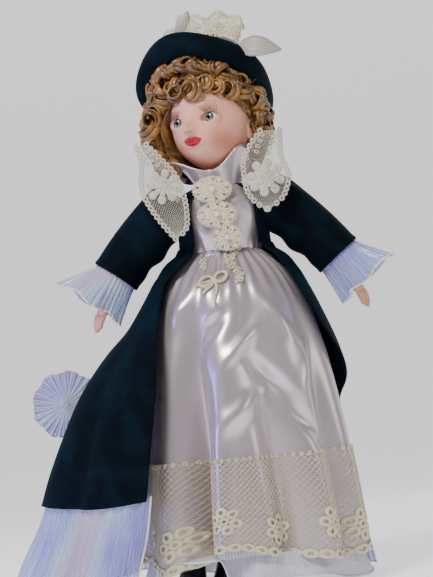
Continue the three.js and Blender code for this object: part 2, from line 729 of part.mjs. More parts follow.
const LASH = { halfWidth: 6.4, low: 4.6, rise: 3.4 };
for (const [side, sign] of Object.entries(SIDES)) {
  const [x, y, z] = eyePlace(sign);
  add(`${side}_eye`, ball([x, y, z], [EYE_R, EYE_R, EYE_R], 12, 8), eyeGlass, head);
  const lashLine = [];
  for (const rise of [0, 1]) {
    for (let i = 0; i <= 8; i++) {
      const t = rise ? 1 - i / 4 : -1 + i / 4;
      const bow = LASH.low + rise * LASH.rise - 2.2 * t * t;
      lashLine.push([x + t * LASH.halfWidth * (1 + 0.15 * rise), z + bow]);
    }
  }
  add(`${side}_eyelashes`, plate(lashLine, -HEAD_HALF_DEPTH - 0.5, 1.0), lashHair, head);
}

// The wig's cap and its mass of curls, open at the face, closed in by the hat above.
const faceR = HEAD_HALF_WIDTH - 3;
const faceZ = HEAD_CENTRE_Z - 10;
const faceOpening = bar([0, 0, faceZ], [0, -90, faceZ], faceR - 1.5, faceR + 1.5, 18);
const underChin = block([-24, -90, -20], [24, -4, faceZ]);
const aroundNeck = bar([0, 0, -20], [0, 0, 30], NECK_R + 4, NECK_R + 4, 14);
const headGrown = (by) => eggOf(1 + by / HEAD_HALF_DEPTH);
const wigCap = headGrown(2.2)
  .subtract(headGrown(0.55))
  .subtract(faceOpening)
  .subtract(underChin)
  .subtract(block([-90, -90, -20], [90, 90, 26]));
add("wig_cap", wigCap, muslin, head);
const hatInside = inHat(
  new THREE.CylinderGeometry(90, 90, 120, 12).rotateX(Math.PI / 2).translate(0, 0, 60 - 3.4),
);
const curlSize = [HEAD_HALF_WIDTH + CURL_DEPTH, HEAD_HALF_DEPTH + CURL_DEPTH - 7, HEAD_HALF_HEIGHT + 6];
const curlMass = ball([WIG_SHIFT, 2, HEAD_CENTRE_Z - 5], curlSize, 20, 12)
  .subtract(headGrown(3.3))
  .subtract(faceOpening)
  .subtract(underChin)
  .subtract(aroundNeck)
  .subtract(block([-90, -90, -20], [90, 90, 10]))
  .subtract(hatInside);
add("wig_curls", curlMass, curls, head);

// ---------- hat ----------
// Drawn about the rim's centre with the crown upwards, then leaned back onto the head.
const hatWall = 2.2;
const HAT_FACETS = 20;
const crownLine = [
  [HAT_RIM_R - 4, 0],
  [HAT_RIM_R - 3.5, 12],
  [38, 24],
  [28, 32],
  [14, 36],
  [0, 37],
];
const crownIn = crownLine
  .map(([r, h]) => [Math.max(0, r - hatWall), h - (r < HAT_RIM_R - 4 ? hatWall : 0)])
  .reverse();
const crownWall = [...crownLine, [0, 37 - hatWall], ...crownIn.slice(1), crownLine[0]];
add("hat_crown", inHat(turned(crownWall, HAT_FACETS)), velvet, head);

const brimProfile = [
  [HAT_RIM_R - 4 + GAP, -3],
  [HAT_RIM_R + 5, -2],
  [HAT_RIM_R + BRIM_WIDTH, 4],
  [HAT_RIM_R + BRIM_WIDTH, 12],
  [HAT_RIM_R + BRIM_WIDTH - 4, BRIM_HEIGHT],
  [HAT_RIM_R + BRIM_WIDTH - 8, BRIM_HEIGHT - 3],
  [HAT_RIM_R, 7],
  [HAT_RIM_R - 4 + 2 * GAP, 4],
  [HAT_RIM_R - 4 + GAP, -3],
];
add("hat_brim", inHat(turned(brimProfile, HAT_FACETS)), velvet, head);

const laceFan = [
  [HAT_RIM_R - 1.6, 12],
  [HAT_RIM_R - 1, 26],
  [HAT_RIM_R + 1, 46],
  [HAT_RIM_R - 1, 46],
  [HAT_RIM_R - 3, 26],
  [HAT_RIM_R - 3.1 + GAP, 12],
  [HAT_RIM_R - 1.6, 12],
];
const fanFront = block([-38, -90, 20], [34, 4, 200]);
const fan = inHat(turned(laceFan, HAT_FACETS)).intersect(fanFront);
add("hat_lace_ruffle", fan, lace, head);

// A pointed loop of stiff ribbon, drawn along +X from its base, then turned up and around.
function ribbonLoop(length, half, up, around, [x, y, z]) {
  const shape = new THREE.Shape();
  shape.moveTo(0, -0.5 * half);
  shape.quadraticCurveTo(length * 0.45, -1.5 * half, length, 0);
  shape.quadraticCurveTo(length * 0.45, 1.5 * half, 0, 0.5 * half);
  shape.closePath();
  const slab = new THREE.ExtrudeGeometry(shape, {
    depth: 1.6,
    bevelEnabled: false,
    curveSegments: 6,
  });
  slab.rotateX(Math.PI / 2).rotateY(-up * DEG).rotateZ(around * DEG);
  return solid(slab.translate(x, y, z));
}
const aboveBrim = inHat(
  new THREE.CylinderGeometry(90, 90, 120, 12)
    .rotateX(Math.PI / 2)
    .translate(0, 0, 60 + BRIM_HEIGHT + GAP),
);
const loopLeft = ribbonLoop(30, 10, -14, -HEAD_TURN, [29, -12, 108]).intersect(aboveBrim);
add("hat_loop_left", loopLeft, organza, head);
add("hat_loop_right", ribbonLoop(22, 7, 84, -HEAD_TURN, [-18, 4, 117]), organza, head);

// ---------- the part's own frame: centred on its box, standing on Z = 0 ----------
const extent = new THREE.Box3().setFromObject(doll);
doll.position.x -= (extent.min.x + extent.max.x) / 2;
doll.position.y -= (extent.min.y + extent.max.y) / 2;
doll.position.z -= extent.min.z;

const part = new THREE.Group();
part.add(doll);
export default part;
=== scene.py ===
import json
import math
import random

import bpy
from mathutils import Matrix, Vector

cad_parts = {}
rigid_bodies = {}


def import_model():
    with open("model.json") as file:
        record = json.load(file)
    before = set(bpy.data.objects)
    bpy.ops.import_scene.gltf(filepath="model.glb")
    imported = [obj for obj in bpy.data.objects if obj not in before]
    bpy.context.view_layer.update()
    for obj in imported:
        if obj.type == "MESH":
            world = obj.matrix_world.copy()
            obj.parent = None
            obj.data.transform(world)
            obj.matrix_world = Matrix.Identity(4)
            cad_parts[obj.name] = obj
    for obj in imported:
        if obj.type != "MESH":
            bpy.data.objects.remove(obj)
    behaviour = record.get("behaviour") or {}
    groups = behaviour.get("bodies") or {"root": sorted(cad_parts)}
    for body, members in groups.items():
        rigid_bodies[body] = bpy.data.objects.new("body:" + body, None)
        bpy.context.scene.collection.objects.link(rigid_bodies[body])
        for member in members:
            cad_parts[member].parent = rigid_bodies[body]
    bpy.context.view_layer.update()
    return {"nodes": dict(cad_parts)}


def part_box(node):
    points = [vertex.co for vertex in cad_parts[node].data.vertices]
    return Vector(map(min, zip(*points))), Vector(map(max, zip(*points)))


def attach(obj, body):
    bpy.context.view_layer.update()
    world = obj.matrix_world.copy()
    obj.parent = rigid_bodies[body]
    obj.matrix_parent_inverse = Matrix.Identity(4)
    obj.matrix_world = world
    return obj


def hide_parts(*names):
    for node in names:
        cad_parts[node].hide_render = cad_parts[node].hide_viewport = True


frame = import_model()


# ---------------------------------------------------------------------------------------------
# The room. A plain pale floor that turns up into a wall behind the doll, soft studio lamps, and
# a camera that stands low in front of her and is held a little aslant, so she seems to lean.
# ---------------------------------------------------------------------------------------------
MM = 0.001
trunk_low, trunk_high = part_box("cloth_torso")
AXIS_X = (trunk_low.x + trunk_high.x) / 2
AXIS_Y = (trunk_low.y + trunk_high.y) / 2


def spot(x, y, z):
    """A point in metres, from millimetres off the doll's own upright axis and above the floor."""
    return Vector((AXIS_X + x * MM, AXIS_Y + y * MM, z * MM))


def colour(code):
    """An sRGB hex colour as the linear colour that a shader takes."""
    parts = [int(code[i:i + 2], 16) / 255 for i in (1, 3, 5)]
    return (*(c / 12.92 if c <= 0.04045 else ((c + 0.055) / 1.055) ** 2.4 for c in parts), 1.0)


def node(tree, kind, inputs=(), **settings):
    """Adds a shader node. An input given as a socket is linked, and any other value is set."""
    made = tree.nodes.new("ShaderNode" + kind)
    for key, value in settings.items():
        setattr(made, key, value)
    for key, value in dict(inputs).items():
        if isinstance(value, bpy.types.NodeSocket):
            tree.links.new(value, made.inputs[key])
        else:
            made.inputs[key].default_value = value
    return made


def blank(name):
    """A new material with an empty tree, and that tree."""
    made = bpy.data.materials.new(name)
    made.use_nodes = True
    made.node_tree.nodes.clear()
    return made, made.node_tree


VIEW_DISTANCE = 1200
VIEW_RISE = math.radians(-5)
VIEW_LEAN = math.radians(5.5)
VIEW_HEIGHT = 448
AIM = spot(-9.9, 0, 230)

back_off = Vector((0, -math.cos(VIEW_RISE), math.sin(VIEW_RISE)))
bpy.ops.object.camera_add(location=AIM + back_off * VIEW_DISTANCE * MM)
camera = bpy.context.object
upward = Vector((math.sin(VIEW_LEAN), 0, math.cos(VIEW_LEAN)))
sideways = (-back_off).cross(upward).normalized()
turned = Matrix((sideways, back_off.cross(sideways), back_off)).transposed()
camera.rotation_euler = turned.to_euler()
camera.data.lens = camera.data.sensor_width / 2 / (VIEW_HEIGHT / 2 / VIEW_DISTANCE)
bpy.context.scene.camera = camera

bpy.ops.object.select_all(action="DESELECT")
bpy.ops.mesh.primitive_plane_add(size=12, location=(0, 0, 0))
floor = bpy.context.object
floor.name = "studio_floor"
WALL_BEHIND, WALL_HEIGHT = 2.4, 5
for vertex in floor.data.vertices:
    vertex.co.y = min(vertex.co.y, WALL_BEHIND)
    vertex.select = False
for edge in floor.data.edges:
    edge.select = all(floor.data.vertices[i].co.y > WALL_BEHIND - 0.1 for i in edge.vertices)
for face in floor.data.polygons:
    face.select = False
bpy.ops.object.mode_set(mode="EDIT")
bpy.ops.mesh.select_mode(type="EDGE")
bpy.ops.mesh.extrude_edges_move(TRANSFORM_OT_translate={"value": (0, 0.6, WALL_HEIGHT)})
bpy.ops.mesh.select_mode(type="VERT")
bpy.ops.object.mode_set(mode="OBJECT")
curve_up = floor.modifiers.new("Curve_up", "BEVEL")
curve_up.width, curve_up.segments, curve_up.limit_method = 1.2, 16, "ANGLE"
bpy.ops.object.modifier_apply(modifier="Curve_up")
bpy.ops.object.shade_smooth()
paper, tree = blank("Matt_paper_backdrop")
# Matt backdrop paper: no shine, and a faint mottle a hand wide.
mottle = node(tree, "TexNoise", {"Vector": node(tree, "TexCoord").outputs["Object"], "Scale": 6.0})
tint = node(tree, "Mix",
            {0: mottle.outputs[0], 6: colour("#f2f1ef"), 7: colour("#faf9f8")}, data_type="RGBA")
shader = node(tree, "BsdfPrincipled", {
    "Base Color": tint.outputs[2], "Roughness": 0.9, "Specular IOR Level": 0.1,
    "Emission Color": colour("#f8f8fa"), "Emission Strength": 0.7,
})
node(tree, "OutputMaterial", {"Surface": shader.outputs[0]})
floor.data.materials.append(paper)

world = bpy.data.worlds.new("Pale_room")
world.use_nodes = True
world.node_tree.nodes["Background"].inputs["Color"].default_value = colour("#f4f5fa")
world.node_tree.nodes["Background"].inputs["Strength"].default_value = 0.16
bpy.context.scene.world = world


def lamp(name, place, power, size, tint):
    """A soft square lamp that shines at the doll's middle, from a place in millimetres."""
    bpy.ops.object.light_add(type="AREA", location=spot(*place))
    made = bpy.context.object
    made.name = name
    made.data.energy = power
    made.data.size = size
    made.data.color = colour(tint)[:3]
    made.rotation_euler = (made.location - spot(0, 0, 240)).to_track_quat("Z", "Y").to_euler()


lamp("key_lamp", (-420, -700, 1050), 13, 0.34, "#fffaf4")
lamp("fill_lamp", (1000, -500, 520), 1.9, 0.5, "#fdf2ea")
lamp("violet_side_lamp", (-1000, -260, 260), 4.5, 0.4, "#8f86ff")
lamp("rim_lamp", (300, 800, 900), 4, 0.6, "#eef0ff")


# ---------------------------------------------------------------------------------------------
# The dress skirt. Ivory polyester satin, one wide length gathered to the waist seam and hanging
# in soft folds over the petticoat, with one deep fold on her right and a lace hem sewn on it.
# ---------------------------------------------------------------------------------------------
def mix(a, b, t):
    return a + (b - a) * t


def step(a, b, x):
    """0 before a, 1 after b, and a smooth rise between them. a may be the larger."""
    t = min(1, max(0, (x - a) / (b - a)))
    return t * t * (3 - 2 * t)


def bump(x, middle, half_width):
    return math.exp(-((x - middle) / half_width) ** 2)


def line(points, t):
    """The smooth curve through a short list of (t, value) pairs, in rising order of t."""
    if t <= points[0][0]:
        return points[0][1]
    for i in range(len(points) - 1):
        (a, low), (b, high) = points[i], points[i + 1]
        if t <= b:
            before = points[max(0, i - 1)]
            after = points[min(len(points) - 1, i + 2)]
            slope_a = (high - before[1]) / (b - before[0])
            slope_b = (after[1] - low) / (after[0] - a)
            s, width = (t - a) / (b - a), b - a
            return (
                (2 * s ** 3 - 3 * s ** 2 + 1) * low + (s ** 3 - 2 * s ** 2 + s) * width * slope_a
                + (3 * s ** 2 - 2 * s ** 3) * high + (s ** 3 - s ** 2) * width * slope_b
            )
    return points[-1][1]


def tidy(piece, weld=0.0, smooth=True):
    """Where a weld is asked for, merges points that meet and turns the faces outwards. Then smooths."""
    bpy.ops.object.select_all(action="DESELECT")
    bpy.context.view_layer.objects.active = piece
    piece.select_set(True)
    if weld:
        bpy.ops.object.mode_set(mode="EDIT")
        bpy.ops.mesh.select_all(action="SELECT")
        bpy.ops.mesh.remove_doubles(threshold=weld * MM)
        bpy.ops.mesh.normals_make_consistent(inside=False)
        bpy.ops.object.mode_set(mode="OBJECT")
    if smooth:
        bpy.ops.object.shade_smooth()


def apply(piece, kind, **settings):
    """Adds a modifier with its settings and applies it."""
    bpy.ops.object.select_all(action="DESELECT")
    bpy.context.view_layer.objects.active = piece
    piece.select_set(True)
    added = piece.modifiers.new(kind.title(), kind)
    for key, value in settings.items():
        setattr(added, key, value)
    bpy.ops.object.modifier_apply(modifier=added.name)


def cloth(name, cut, across, down, place, closed=False, thick=0.6):
    """A sheet cut to (width, length) in millimetres and laid by place(u, v), u across and v down.

    Seen from outside, u goes to the right. Its UV map is in metres along the cloth."""
    bpy.ops.object.select_all(action="DESELECT")
    bpy.ops.mesh.primitive_grid_add(x_subdivisions=across, y_subdivisions=down, size=1)
    piece = bpy.context.object
    piece.name = name
    for loop in piece.data.uv_layers[0].data:
        loop.uv = (loop.uv.x * cut[0] * MM, loop.uv.y * cut[1] * MM)
    for vertex in piece.data.vertices:
        vertex.co = spot(*place(vertex.co.x + 0.5, 0.5 - vertex.co.y))
    tidy(piece, weld=0.01 if closed else 0.0)
    if thick:
        apply(piece, "SOLIDIFY", thickness=thick * MM, offset=-1)
    return piece


def fit(piece, material, slot, body, *nodes):
    """Gives a finished piece its material, the body that it rides on and the nodes it stands for."""
    piece.data.materials.clear()
    piece.data.materials.append(material)
    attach(piece, body)
    if nodes:
        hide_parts(*nodes)
    return piece


def satin(name, light, shade):
    """Polyester satin: long floats of smooth thread, so a broad soft gloss and a faint cool sheen."""
    made, tree = blank(name)
    place = node(tree, "TexCoord").outputs["Object"]
    cloudy = node(tree, "TexNoise", {"Vector": place, "Scale": 22.0, "Detail": 2.0})
    slubs = node(tree, "TexNoise", {"Vector": place, "Scale": 420.0, "Detail": 3.0})
    tint = node(tree, "Mix", {0: cloudy.outputs[0], 6: colour(light), 7: colour(shade)}, data_type="RGBA")
    # Threads lie 0.12 mm apart, which is too fine to show, so a rib of 1.1 mm is drawn.
    uv = node(tree, "UVMap").outputs[0]
    threads = node(tree, "TexWave", {"Vector": uv, "Scale": 145.0, "Distortion": 1.5, "Detail": 1.0},
                   wave_type="BANDS", bands_direction="X")
    weave = node(tree, "Bump", {"Height": threads.outputs["Fac"], "Strength": 0.06, "Distance": 0.0002})
    rumple = node(tree, "Bump", {"Height": slubs.outputs[0], "Strength": 0.08, "Distance": 0.0004,
                                 "Normal": weave.outputs[0]})
    rough = node(tree, "MapRange", {"Value": cloudy.outputs[0], "To Min": 0.24, "To Max": 0.34})
    shader = node(tree, "BsdfPrincipled", {
        "Base Color": tint.outputs[2], "Roughness": rough.outputs[0], "Normal": rumple.outputs[0],
        "Specular IOR Level": 0.8, "Metallic": 0.6, "Sheen Weight": 0.2, "Sheen Roughness": 0.35,
        "Sheen Tint": colour("#b7b0f2"), "Anisotropic": 0.35,
    })
    node(tree, "OutputMaterial", {"Surface": shader.outputs[0]})
    return made


IVORY_SATIN = satin("Ivory_dress_satin", "#d6cdd4", "#c2b8bd")

# The skirt's own line, as (height, radius), and its folds, as (degrees round from the front,
# half width in degrees, depth at the hem, height where it starts, drift in degrees by the hem).
SKIRT_LINE = ((27, 86), (70, 83), (120, 78), (175, 70), (212, 60), (236, 48), (250, 36), (257, 27.2))
SKIRT_TOP = 257.5
SKIRT_FOLDS = (
    (-26, 6.0, -34, 236, -2), (-44, 9, 11, 245, 2), (-9, 7, 11, 248, -5), (10, 6, -15, 240, 8),
    (32, 7, 9, 248, 5), (51, 5, -14, 228, 4), (68, 8, 5, 235, 0), (90, 6, -7, 215, 0),
    (112, 9, 5, 235, 0), (135, 6, -8, 215, 0), (160, 9, 5, 235, 0), (180, 5, -7, 215, 0),
    (-68, 5, -9, 215, 0), (-90, 9, 5, 235, 0), (-115, 6, -8, 215, 0), (-140, 9, 5, 235, 0),
    (-162, 6, -6, 215, 0),
)
# Soft hollows where the satin sinks between folds, as (degrees, height, half width, half height,
# lean in degrees a millimetre, depth).
SKIRT_HOLLOWS = (
    (-14, 198, 7, 10, 0.6, -6.0), (4, 182, 6, 13, 0.65, 5.6), (18, 156, 6, 17, -0.6, -6.4),
    (-38, 214, 7, 12, 0.2, 4.4), (34, 122, 6, 20, -0.5, -5.4), (0, 134, 7, 14, 0.55, 5.0),
    (-20, 168, 4, 22, 0.0, 3.6), (30, 200, 5, 16, -0.4, 4.0), (43, 164, 6, 18, 0.3, 4.2),
)


def squareness(z):
    """How much the skirts are flattened from front to back: more at the waist than lower down."""
    return mix(0.92, 0.77, step(222, 262, z))


def skirt_at(degrees, z, out=0.0):
    """A point of the satin skirt's outside, with its folds, or one a little further out."""
    turn = (degrees + 180) % 360 - 180
    radius = line(SKIRT_LINE, z)
    for middle, half, depth, start, drift in SKIRT_FOLDS:
        drop = step(start, 27, z)
        apart = (turn - middle - drift * drop + 180) % 360 - 180
        radius += depth * drop ** 0.7 * bump(apart, 0, half * (1 + 0.7 * (1 - drop)))
    for middle, height, half, tall, lean, depth in SKIRT_HOLLOWS:
        apart = turn - middle - lean * (z - height)
        radius += depth * bump(apart, 0, half) * bump(z, height, tall)
    gather = math.cos(math.radians(turn * 34 + 60 * math.sin(math.radians(turn * 5))))
    radius += 1.3 * gather * step(205, 250, z) * step(258, 252, z)
    radius += out
    angle = math.radians(turn)
    return radius * math.sin(angle), -radius * math.cos(angle) * squareness(z), z


def skirt_hem(degrees):
    """The hem's height: lifted in the middle of the front, and lower in the folds at each side."""
    turn = (degrees + 180) % 360 - 180
    return 27 + 8 * bump(turn, -10, 16) - 8 * bump(turn, -45, 14) - 7 * bump(turn, 52, 26)


skirt = cloth(
    "satin_skirt", (560, 245), 300, 90,
    lambda u, v: skirt_at(u * 360 - 180, mix(SKIRT_TOP, skirt_hem(u * 360 - 180), v ** 0.9)),
    closed=True, thick=0.7,
)
fit(skirt, IVORY_SATIN, "satin", "torso", "dress_skirt")


# ---------------------------------------------------------------------------------------------
# The lace hem band. Cream cotton lace a hand's width deep, laid flat on the satin and sewn along
# its top: a diamond net with big open flowers, and a scalloped edge of small rings below.
# ---------------------------------------------------------------------------------------------
def net(name, width, height, cell, place, thread=0.5):
    """An open net of diamonds, width by height in millimetres, laid by place(u, v)."""
    bpy.ops.object.select_all(action="DESELECT")
    across, down = max(2, round(width / cell)), max(2, round(height / cell))
    bpy.ops.mesh.primitive_grid_add(x_subdivisions=across, y_subdivisions=down, size=1)
    piece = bpy.context.object
    piece.name = name
    corners = len(piece.data.vertices)
    bpy.ops.object.mode_set(mode="EDIT")
    bpy.ops.mesh.select_all(action="SELECT")
    bpy.ops.mesh.poke()
    bpy.ops.mesh.select_all(action="DESELECT")
    bpy.ops.object.mode_set(mode="OBJECT")
    rim = (0.4999, -0.4999)
    for edge in piece.data.edges:
        a, b = (piece.data.vertices[i].co for i in edge.vertices)
        on_rim = (a.x == b.x and abs(a.x) > rim[0]) or (a.y == b.y and abs(a.y) > rim[0])
        edge.select = max(edge.vertices) < corners and not on_rim
    bpy.ops.object.mode_set(mode="EDIT")
    bpy.ops.mesh.select_mode(type="EDGE")
    bpy.ops.mesh.dissolve_edges(use_verts=False)
    bpy.ops.mesh.select_mode(type="VERT")
    bpy.ops.object.mode_set(mode="OBJECT")
    for vertex in piece.data.vertices:
        vertex.co = spot(*place(vertex.co.x + 0.5, 0.5 - vertex.co.y))
    apply(piece, "WIREFRAME", thickness=thread * MM, use_even_offset=False, use_replace=True)
    return piece


def copies(name, pattern, laws):
    """One piece from many copies of a pattern, each bent into place by a law of its own."""
    points, faces = [], []
    shape = [vertex.co.copy() for vertex in pattern.data.vertices]
    sides = [tuple(face.vertices) for face in pattern.data.polygons]
    for law in laws:
        start = len(points)
        points += [spot(*law(*point)) for point in shape]
        faces += [tuple(start + i for i in side) for side in sides]
    mesh = bpy.data.meshes.new(name)
    mesh.from_pydata(points, [], faces)
    if pattern.data.uv_layers:
        along = [tuple(loop.uv) for loop in pattern.data.uv_layers[0].data]
        layer = mesh.uv_layers.new(name="UVMap")
        for i, loop in enumerate(layer.data):
            loop.uv = along[i % len(along)]
    piece = bpy.data.objects.new(name, mesh)
    bpy.context.scene.collection.objects.link(piece)
    tidy(piece, weld=0.0001)
    return piece


def join(first, *others):
    """Joins pieces into the first, and gives it back."""
    bpy.ops.object.select_all(action="DESELECT")
    for other in others:
        other.select_set(True)
    first.select_set(True)
    bpy.context.view_layer.objects.active = first
    bpy.ops.object.join()
    return first


def ring_pattern(name, radius, hole, thick, sides):
    """A flat worked ring, millimetres across in its own plane, as a pattern for copies."""
    bpy.ops.object.select_all(action="DESELECT")
    bpy.ops.mesh.primitive_circle_add(vertices=sides, radius=radius, fill_type="NGON")
    piece = bpy.context.object
    piece.name = name
    bpy.ops.object.mode_set(mode="EDIT")
    bpy.ops.mesh.select_all(action="SELECT")
    bpy.ops.mesh.inset(thickness=radius - hole)
    bpy.ops.mesh.delete(type="FACE")
    bpy.ops.mesh.select_all(action="SELECT")
    bpy.ops.mesh.extrude_region_move(TRANSFORM_OT_translate={"value": (0, 0, thick)})
    bpy.ops.mesh.select_all(action="SELECT")
    bpy.ops.mesh.normals_make_consistent(inside=False)
    bpy.ops.object.mode_set(mode="OBJECT")
    return piece


def flower(middle, radius, petals, turn=0.0):
    """Where each ring of one lace flower goes, as (u mm, v mm, stretch out, stretch across, angle)."""
    places = [(middle[0], middle[1], 0.28 * radius, 0.28 * radius, 0.0)]
    for i in range(petals):
        angle = turn + 2 * math.pi * i / petals
        reach = 0.64 * radius
        places.append((
            middle[0] + reach * math.cos(angle), middle[1] + reach * math.sin(angle),
            0.37 * radius, min(0.34, 1.9 / petals) * radius, angle,
        ))
    return places


petal_ring = ring_pattern("petal_ring", 1.0, 0.42, 1.0, 14)
petal_pad = ring_pattern("petal_pad", 1.0, 0.17, 1.0, 14)
PATTERNS = ["petal_ring", "petal_pad"]


def worked(name, surface, rings, thick=0.8, pattern=petal_ring):
    """Lace pads: rings stretched to their sizes and laid on surface(u mm, v mm, out)."""
    def law(place):
        u0, v0, long, wide, angle = place

        def bend(x, y, z):
            along, aside = x * long, y * wide
            u = u0 + along * math.cos(angle) - aside * math.sin(angle)
            v = v0 + along * math.sin(angle) + aside * math.cos(angle)
            return surface(u, v, z * thick)
        return bend
    return copies(name, pattern, [law(place) for place in rings])


def cotton(name, light, shade):
    """Cotton lace: matt twisted thread with a dry, slightly fuzzy face."""
    made, tree = blank(name)
    place = node(tree, "TexCoord").outputs["Object"]
    cloudy = node(tree, "TexNoise", {"Vector": place, "Scale": 60.0, "Detail": 3.0})
    tint = node(tree, "Mix", {0: cloudy.outputs[0], 6: colour(light), 7: colour(shade)}, data_type="RGBA")
    # Two-ply thread about 0.4 mm thick.
    ply = node(tree, "TexWave", {"Vector": place, "Scale": 800.0, "Distortion": 4.0, "Detail": 2.0},
               wave_type="BANDS", bands_direction="DIAGONAL")
    twist = node(tree, "Bump", {"Height": ply.outputs["Fac"], "Strength": 0.45, "Distance": 0.0002})
    shader = node(tree, "BsdfPrincipled", {
        "Base Color": tint.outputs[2], "Roughness": 0.72, "Normal": twist.outputs[0],
        "Sheen Weight": 0.3, "Sheen Roughness": 0.5, "Specular IOR Level": 0.3,
    })
    node(tree, "OutputMaterial", {"Surface": shader.outputs[0]})
    return made


CREAM_LACE = cotton("Cream_cotton_lace", "#e2dcbd", "#d3caa4")
WHITE_LACE = cotton("White_cotton_lace", "#cecbba", "#bdb8a4")

BAND_AROUND = 540
BAND_TOP = 100


def band_at(u, v, out=0.0):
    """A point of the lace band, u millimetres round from the back and v below its top."""
    turn = u / BAND_AROUND * 360 - 180
    low = skirt_hem(turn)
    return skirt_at(turn, BAND_TOP - v * (BAND_TOP - low) / (BAND_TOP - 27), 1.1 + out)


band = net("lace_hem_band", BAND_AROUND, 73, 4.2, lambda u, v: band_at(u * BAND_AROUND, v * 73), 0.55)
rings = []
for i in range(14):
    rings += flower((20 + i * 540 / 14, 49 + 5 * (i % 2)), 11.5, 6, i * 0.4)
for i in range(60):
    rings.append((i * 9 + 4.5, 70.5, 3.4, 4.9, math.pi / 2))
for i in range(108):
    rings.append((i * 5 + 2.5, 1.2, 1.1, 1.6, 0.0))
band = join(band, worked("band_flowers", band_at, rings))
fit(band, CREAM_LACE, "lace", "torso", "skirt_lace_band")


# ---------------------------------------------------------------------------------------------
# The petticoat. Sheer white nylon net under the satin, with a deep flounce gathered to its edge
# that falls in loose waves to the floor and ends in a thick rolled hem.
# ---------------------------------------------------------------------------------------------
def sheer(name, light, shade, cover, threads_per_metre, gloss):
    """Thin see-through cloth: fine parallel threads, a little shine, and light that passes through."""
    made, tree = blank(name)
    place = node(tree, "TexCoord").outputs["Object"]
    uv = node(tree, "UVMap").outputs[0]
    cloudy = node(tree, "TexNoise", {"Vector": place, "Scale": 30.0, "Detail": 2.0})
    tint = node(tree, "Mix", {0: cloudy.outputs[0], 6: colour(light), 7: colour(shade)}, data_type="RGBA")
    threads = node(tree, "TexWave",
                   {"Vector": uv, "Scale": threads_per_metre, "Distortion": 2.0, "Detail": 2.0},
                   wave_type="BANDS", bands_direction="X")
    ribs = node(tree, "Bump", {"Height": threads.outputs["Fac"], "Strength": 0.35, "Distance": 0.0004})
    solid = node(tree, "MapRange",
                 {"Value": threads.outputs["Fac"], "To Min": cover - 0.14, "To Max": cover + 0.14})
    shader = node(tree, "BsdfPrincipled", {
        "Base Color": tint.outputs[2], "Roughness": gloss, "Alpha": solid.outputs[0],
        "Normal": ribs.outputs[0], "Sheen Weight": 0.2, "Specular IOR Level": 0.5,
    })
    node(tree, "OutputMaterial", {"Surface": shader.outputs[0]})
    return made


WHITE_NET = sheer("White_nylon_net", "#dfe0ea", "#c9cbd8", 0.62, 170, 0.5)
WHITE_HEM = cotton("White_rolled_hem_thread", "#e9e8ee", "#d6d5de")

petticoat = cloth(
    "net_petticoat", (500, 185), 160, 40,
    lambda u, v: skirt_at(u * 360 - 180, mix(212, 29, v), -4.5),
    closed=True, thick=0.4,
)
fit(petticoat, WHITE_NET, "petticoat_net", "torso", "petticoat")

FLOUNCE_TOP = 30
FLOUNCE_WAVES = 9


def flounce_at(u, v):
    turn = math.radians(u * 360 - 180)
    wave = math.cos(turn * FLOUNCE_WAVES + 1.3 * math.sin(turn * 2))
    hem = 4.0 + 3.6 * (1 - math.cos(turn * FLOUNCE_WAVES * 0.5 + 1.1))
    degrees = math.degrees(turn)
    hem = mix(hem, FLOUNCE_TOP - 2, step(-66, -58, degrees) * step(-12, -19, degrees))
    z = mix(FLOUNCE_TOP, hem, v)
    radius = mix(79, 84.5, v) + wave * (1 + 4.0 * v) + 0.8 * math.cos(turn * 46) * (1 - v)
    return radius * math.sin(turn), -radius * math.cos(turn) * 0.92, z


flounce = cloth("net_flounce", (560, 27), 300, 12, flounce_at, closed=True, thick=0.4)
fit(flounce, WHITE_NET, "petticoat_net", "torso", "petticoat_flounce")


def tube(name, path, radius, steps, sides=8, upright=(0, -1, 0)):
    """A round cord or limb along path(t), with its radius at t given in millimetres by radius(t)."""
    def place(u, v):
        centre = Vector(path(v))
        ahead = (Vector(path(v + 0.01)) - Vector(path(v - 0.01))).normalized()
        across = ahead.cross(Vector(upright)).normalized()
        over = ahead.cross(across)
        turn = -u * 2 * math.pi
        return centre + (across * math.cos(turn) + over * math.sin(turn)) * radius(v)
    return cloth(name, (10, 10), sides, steps, place, closed=True, thick=0)


flounce_roll = tube("flounce_roll", lambda t: flounce_at(t, 1.0), lambda t: 0.9, 300, 6, (0, 0, 1))
fit(flounce_roll, WHITE_HEM, "petticoat_net", "torso")


# ---------------------------------------------------------------------------------------------
# The pantaloons. White cotton lawn, one leg each, gathered in under the knee above a short
# frill. They ride with the legs, and the skirts hide them unless she is lifted.
# ---------------------------------------------------------------------------------------------
LEG_LEAN = math.tan(math.radians(11))
HIP_HEIGHT = 188

for side, hip_x in (("right", -13.5), ("left", 13.5)):
    def leg_at(u, v, hip_x=hip_x):
        z = mix(173, 65, v)
        turn = u * 2 * math.pi - math.pi
        radius = line(((0, 11.0), (0.3, 12.4), (0.78, 11.8), (0.88, 10.4), (1, 12.6)), v)
        radius += (0.25 + 0.45 * v) * math.cos(turn * 16)
        return (hip_x - (HIP_HEIGHT - z) * LEG_LEAN + radius * math.sin(turn),
                -radius * math.cos(turn), z)
    leg = cloth(f"{side}_cotton_pantaloon", (92, 120), 96, 36, leg_at, closed=True, thick=0.4)
    fit(leg, WHITE_LACE, "cloth_body", f"{side}_leg", f"{side}_pantaloon")


